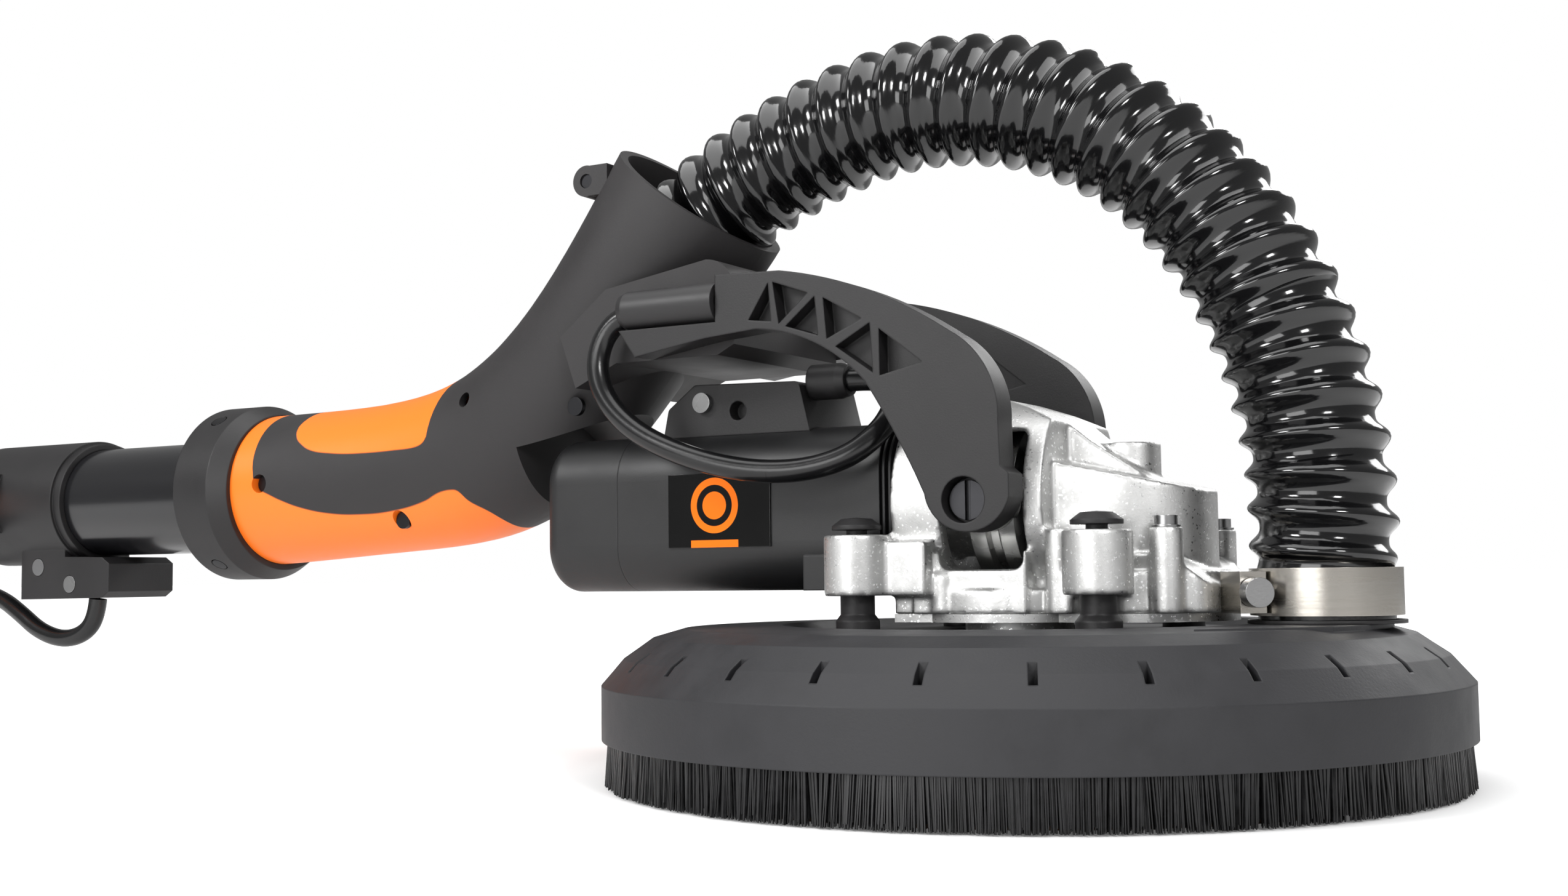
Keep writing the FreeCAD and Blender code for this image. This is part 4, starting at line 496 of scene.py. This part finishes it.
def make_looks():
    """Every finish, by a short name."""
    look = {}
    # glass-filled nylon, moulded with a fine spark texture: dull black with a soft sheen
    look["nylon"] = finish("glass_filled_nylon", "#1B1A1B", 0.50, grain=0.55, depth=0.035, mottle=0.5,
                           other="#222122",
                           edge=0.7, Specular_IOR_Level=0.42)
    # ABS, moulded in a finely etched tool: even dark grey-black, a little smoother
    look["motor"] = finish("etched_abs", "#141415", 0.44, grain=0.5, depth=0.025, mottle=0.5,
                           other="#1A1A1B", edge=0.6)
    # ABS skirt, etched coarser and dusty from use: dark slate grey
    look["skirt"] = finish("dusty_etched_abs", "#1D1D20", 0.56, grain=0.8, depth=0.05, mottle=0.7,
                           other="#27272A",
                           edge=0.6, spread=0.05)
    # thermoplastic rubber over the grip: soft black that hardly shines
    look["soft"] = finish("soft_touch_rubber", "#2B292A", 0.62, grain=0.7, depth=0.03, mottle=0.6,
                          other="#343233", edge=0.5)
    # plain moulded rubber
    look["rubber"] = finish("moulded_rubber", "#1C1B1C", 0.48, grain=0.5, depth=0.02, mottle=0.5,
                            other="#252425", edge=0.5)
    # flexible PVC, extruded: glossy black
    look["hose"] = finish("glossy_pvc_hose", "#070708", 0.13, grain=6.0, depth=0.05, mottle=0.4,
                          other="#0D0D0E",
                          rough_noise=0.03, Coat_Weight=0.35, Coat_Roughness=0.05)
    look["cable"] = finish("pvc_cable_jacket", "#0E0E0F", 0.24, grain=2.5, depth=0.03, mottle=0.4,
                           other="#161617",
                           rough_noise=0.04)
    # die-cast aluminium, tumbled: pale grey metal that sparkles from its fine crystals
    look["cast"] = cast_aluminium()
    # drawn aluminium tube, black anodised
    look["tube"] = finish("black_anodised_tube", "#101012", 0.22, grain=1.2, depth=0.01, mottle=0.5,
                          other="#17171A",
                          stretch=(0.08, 1, 1), rough_noise=0.04, Coat_Weight=0.3, Coat_Roughness=0.12)
    # stainless strip, brushed along its length
    look["stainless"] = finish("brushed_stainless", "#B9B5AE", 0.24, metallic=1.0, grain=0.5, depth=0.006,
                               mottle=0.6,
                               other="#A39E96", stretch=(1, 1, 14), edge=0.15, rough_noise=0.05)
    # zinc-plated steel
    look["zinc"] = finish("zinc_plated_steel", "#A8A8A8", 0.30, metallic=1.0, grain=0.6, depth=0.01,
                          mottle=0.7,
                          other="#8C8C8E", edge=0.2)
    # black-oxide screws
    look["oxide"] = finish("black_oxide_steel", "#3A3A3C", 0.36, metallic=1.0, grain=0.5, depth=0.01,
                           mottle=0.6,
                           other="#29292B", edge=0.2)
    # ground steel
    look["steel"] = finish("ground_steel", "#B4B4B2", 0.28, metallic=1.0, grain=0.5, depth=0.008,
                           mottle=0.6, other="#9A9A98",
                           edge=0.3)
    # enamelled copper and laminations
    look["copper"] = finish("enamelled_copper", "#A5552A", 0.32, metallic=1.0, grain=0.5, depth=0.08,
                            mottle=0.6,
                            other="#8A4423", stretch=(4, 1, 1))
    look["carbon"] = finish("carbon_brush", "#2A2A2A", 0.5, grain=0.3, depth=0.02, mottle=0.5,
                            other="#1E1E1E")
    # ethylene foam pad, closed cells
    look["foam"] = finish("closed_cell_foam", "#3B3B3F", 0.85, grain=1.1, depth=0.25, mottle=0.7,
                          other="#2F2F33")
    # aluminium-oxide grit bonded to paper
    look["grit"] = finish("oxide_abrasive_paper", "#6E4A36", 0.8, grain=0.35, depth=0.2, mottle=0.8,
                          other="#8A6248")
    # nylon filament, extruded, satin
    look["bristle"] = finish("nylon_filament", "#0C0C0D", 0.38, mottle=0.8, other="#1A1A1C", spread=0.01,
                             rough_noise=0.08)
    # injection-moulded ABS in safety orange
    look["orange"] = finish("orange_abs", "#F57A1D", 0.46, grain=0.5, depth=0.02, mottle=0.3,
                            other="#F07015", edge=0.4)
    look["grip"] = two_shot_grip()
    look["badge"] = printed_badge()
    return look


def curve_of(tree, share, marks, low, high, floor, roof):
    """A drawn line: marks are (along, up) in mm; share is the place along, low to high mapped to 0 to 1."""
    node = add(tree, "ShaderNodeFloatCurve", {"Value": share})
    line = node.mapping.curves[0]
    points = [((x - low) / (high - low), (z - floor) / (roof - floor)) for x, z in marks]
    line.points[0].location = points[0]
    line.points[1].location = points[-1]
    for spot in points[1:-1]:
        line.points.new(*spot)
    for held in line.points:
        held.handle_type = "AUTO_CLAMPED"
    node.mapping.update()
    return node.outputs[0]


# the window the grip's two edges are drawn in: x from and to, z from and to
GRIP_WINDOW = (-312.0, -180.0, 60.0, 150.0)
# orange below the first edge and above the second
COLLAR_EDGE = [
    (-312, 149), (-297, 149), (-294.2, 125), (-292.4, 112), (-290.6, 101), (-288.0, 94.6),
    (-281.6, 91.2), (-276.3, 89.0), (-267.9, 86.3), (-256.1, 84.1), (-242, 83.4), (-227.5, 84.2),
    (-212.3, 87), (-203.8, 90.0), (-198.5, 90.6), (-193.4, 86.4), (-187.9, 82.2), (-185.5, 77.0),
    (-184.0, 61), (-180, 61)]
PALM_EDGE = [
    (-312, 149), (-278.2, 149), (-277.0, 117), (-274.0, 112.2), (-270.6, 109.8), (-264.9, 107.2),
    (-254.9, 105.6), (-239.6, 104.9), (-224.6, 105.2), (-213.3, 105.9), (-210.2, 107.2),
    (-208.6, 110.0), (-207.6, 149), (-180, 149)]
PALM_END = -207.4


def two_shot_grip():
    """Orange ABS core with black rubber moulded over it, a little proud along its edge."""
    made = finish("overmoulded_grip", "#1E1C1D", 0.60, grain=0.7, depth=0.03, mottle=0.6, other="#262425")
    tree = made.node_tree
    surface = tree.nodes["surface"]

    def maths(kind, *values):
        return add(tree, "ShaderNodeMath", dict(enumerate(values)), operation=kind).outputs[0]

    place = add(tree, "ShaderNodeSeparateXYZ", {0: add(tree, "ShaderNodeTexCoord").outputs["Object"]})
    low, high, floor, roof = GRIP_WINDOW
    share = add(tree, "ShaderNodeMapRange", {"Value": place.outputs["X"], "From Min": low * MM,
                                             "From Max": high * MM})
    up = add(tree, "ShaderNodeMapRange", {"Value": place.outputs["Z"], "From Min": floor * MM,
                                          "From Max": roof * MM},
             clamp=False).outputs["Result"]
    under = curve_of(tree, share.outputs["Result"], COLLAR_EDGE, low, high, floor, roof)
    over = curve_of(tree, share.outputs["Result"], PALM_EDGE, low, high, floor, roof)
    span = 0.25 / (roof - floor)
    below = add(tree, "ShaderNodeMapRange", {"Value": maths("SUBTRACT", under, up), "From Min": -span,
                                             "From Max": span})
    above = add(tree, "ShaderNodeMapRange", {"Value": maths("SUBTRACT", up, over), "From Min": -span,
                                             "From Max": span})
    # the hose branch beyond the palm patch is all black
    behind = maths("LESS_THAN", place.outputs["X"], PALM_END * MM)
    mask = maths("MAXIMUM", below.outputs["Result"], maths("MULTIPLY", above.outputs["Result"], behind))
    black = surface.inputs["Base Color"].links[0].from_socket
    tone = add(tree, "ShaderNodeMix", {"Factor": mask, 6: black, 7: paint("#FF7817")}, data_type="RGBA")
    tree.links.new(tone.outputs[2], surface.inputs["Base Color"])
    rough = surface.inputs["Roughness"].links[0].from_socket
    sheen = add(tree, "ShaderNodeMix", {0: mask, 2: rough, 3: 0.42}, data_type="FLOAT")
    tree.links.new(sheen.outputs[0], surface.inputs["Roughness"])
    step = add(tree, "ShaderNodeBump", {"Height": mask, "Distance": 0.25 * MM, "Strength": 1.0,
                                        "Normal": surface.inputs["Normal"].links[0].from_socket},
                                        invert=True)
    tree.links.new(step.outputs["Normal"], surface.inputs["Normal"])
    return made


SIGN_X, SIGN_Z = -91.0, 82.0
SIGN_RADIUS, SIGN_RING, SIGN_DISC = 8.6, 6.4, 4.3
SIGN_BAR_DROP, SIGN_BAR_HALF = 12.2, 1.5


def printed_badge():
    """Gloss black film with a plain printed sign in orange: a disc in a ring over a bar."""
    made = finish("printed_gloss_film", "#060606", 0.10, mottle=0.3, other="#0A0A0A", edge=0.25,
                  rough_noise=0.02)
    tree = made.node_tree
    surface = tree.nodes["surface"]

    def maths(kind, *values):
        return add(tree, "ShaderNodeMath", dict(enumerate(values)), operation=kind).outputs[0]

    place = add(tree, "ShaderNodeSeparateXYZ", {0: add(tree, "ShaderNodeTexCoord").outputs["Object"]})
    across = maths("SUBTRACT", place.outputs["X"], SIGN_X * MM)
    up = maths("SUBTRACT", place.outputs["Z"], SIGN_Z * MM)
    far = maths("SQRT", maths("ADD", maths("MULTIPLY", across, across), maths("MULTIPLY", up, up)))
    ring = maths("MULTIPLY", maths("LESS_THAN", far, SIGN_RADIUS * MM),
                 maths("GREATER_THAN", far, SIGN_RING * MM))
    disc = maths("LESS_THAN", far, SIGN_DISC * MM)
    bar = maths("MULTIPLY", maths("LESS_THAN", maths("ABSOLUTE", across), SIGN_RADIUS * MM),
                maths("LESS_THAN", maths("ABSOLUTE", maths("ADD", up, SIGN_BAR_DROP * MM)),
                      SIGN_BAR_HALF * MM))
    mask = maths("MAXIMUM", maths("MAXIMUM", ring, disc), bar)
    black = surface.inputs["Base Color"].links[0].from_socket
    tone = add(tree, "ShaderNodeMix", {"Factor": mask, 6: black, 7: paint("#FF7A18")}, data_type="RGBA")
    tree.links.new(tone.outputs[2], surface.inputs["Base Color"])
    return made


def cast_aluminium():
    """Die-cast aluminium, tumbled: satin grey with bright pin-point crystals."""
    made = finish("tumbled_cast_aluminium", "#D2D2D1", 0.46, metallic=1.0, grain=0.55, depth=0.05,
                  mottle=0.7,
                  other="#BEBEBD", rough_noise=0.05, spread=0.03)
    tree = made.node_tree
    surface = tree.nodes["surface"]
    place = add(tree, "ShaderNodeTexCoord").outputs["Object"]
    specks = add(tree, "ShaderNodeTexVoronoi", {"Vector": place, "Scale": 1 / (0.5 * MM)}, feature="F1")
    bright = add(tree, "ShaderNodeSeparateColor", {0: specks.outputs["Color"]}).outputs[0]
    spark = add(tree, "ShaderNodeMapRange", {"Value": bright, "From Min": 0.90,
                                             "From Max": 0.97}).outputs["Result"]
    base = surface.inputs["Base Color"].links[0].from_socket
    tone = add(tree, "ShaderNodeMix", {"Factor": spark, 6: base, 7: paint("#FFFFFF")}, data_type="RGBA")
    tree.links.new(tone.outputs[2], surface.inputs["Base Color"])
    rough = surface.inputs["Roughness"].links[0].from_socket
    shine = add(tree, "ShaderNodeMix", {0: spark, 2: rough, 3: 0.22}, data_type="FLOAT")
    tree.links.new(shine.outputs[0], surface.inputs["Roughness"])
    return made


WEARS = {
    "nylon": "fork_arm_left fork_arm_right pole_collar clamp_body terminal_box motor_gland handle_left "
             "handle_right "
             "hose_outlet skirt_posts post_caps motor_fan slip_ring dust_spout backing_plate",
    "motor": "motor_housing motor_rear_cap",
    "skirt": "skirt_shell brush_strip",
    "rubber": "cable_boot mains_inlet",
    "cast": "base_plate",
    "tube": "front_tube rear_tube",
    "stainless": "hose_band",
    "zinc": "band_screw pad_screw head_screws clamp_fasteners skirt_springs",
    "oxide": "grip_screws handle_screws pivot_screws",
    "steel": "spindle_bearings motor_bearings armature_shaft lay_shaft spindle crown_gear spindle_gear "
             "gimbal_ring",
    "copper": "stator armature_core commutator",
    "carbon": "carbon_brushes",
    "foam": "foam_pad",
    "grit": "abrasive_disc",
    "orange": "trigger clamp_lever lock_button",
    "grip": "grip_left grip_right",
    "soft": "speed_dial",
    "badge": "side_badge",
}


def dress_frame(look):
    for name, nodes in WEARS.items():
        for node in nodes.split():
            mesh = NODES[node].data
            mesh.materials.clear()
            mesh.materials.append(look[name])


bpy.context.scene.view_settings.view_transform = "Standard"
place_camera()
LOOK = make_looks()
make_hose(LOOK["hose"])
make_cables(LOOK["cable"])
make_bristles(LOOK["bristle"])
softened("gear_housing", "gear_case", LOOK["cast"], "head", 0.75, 4, 0.45)
dress_frame(LOOK)
make_room()
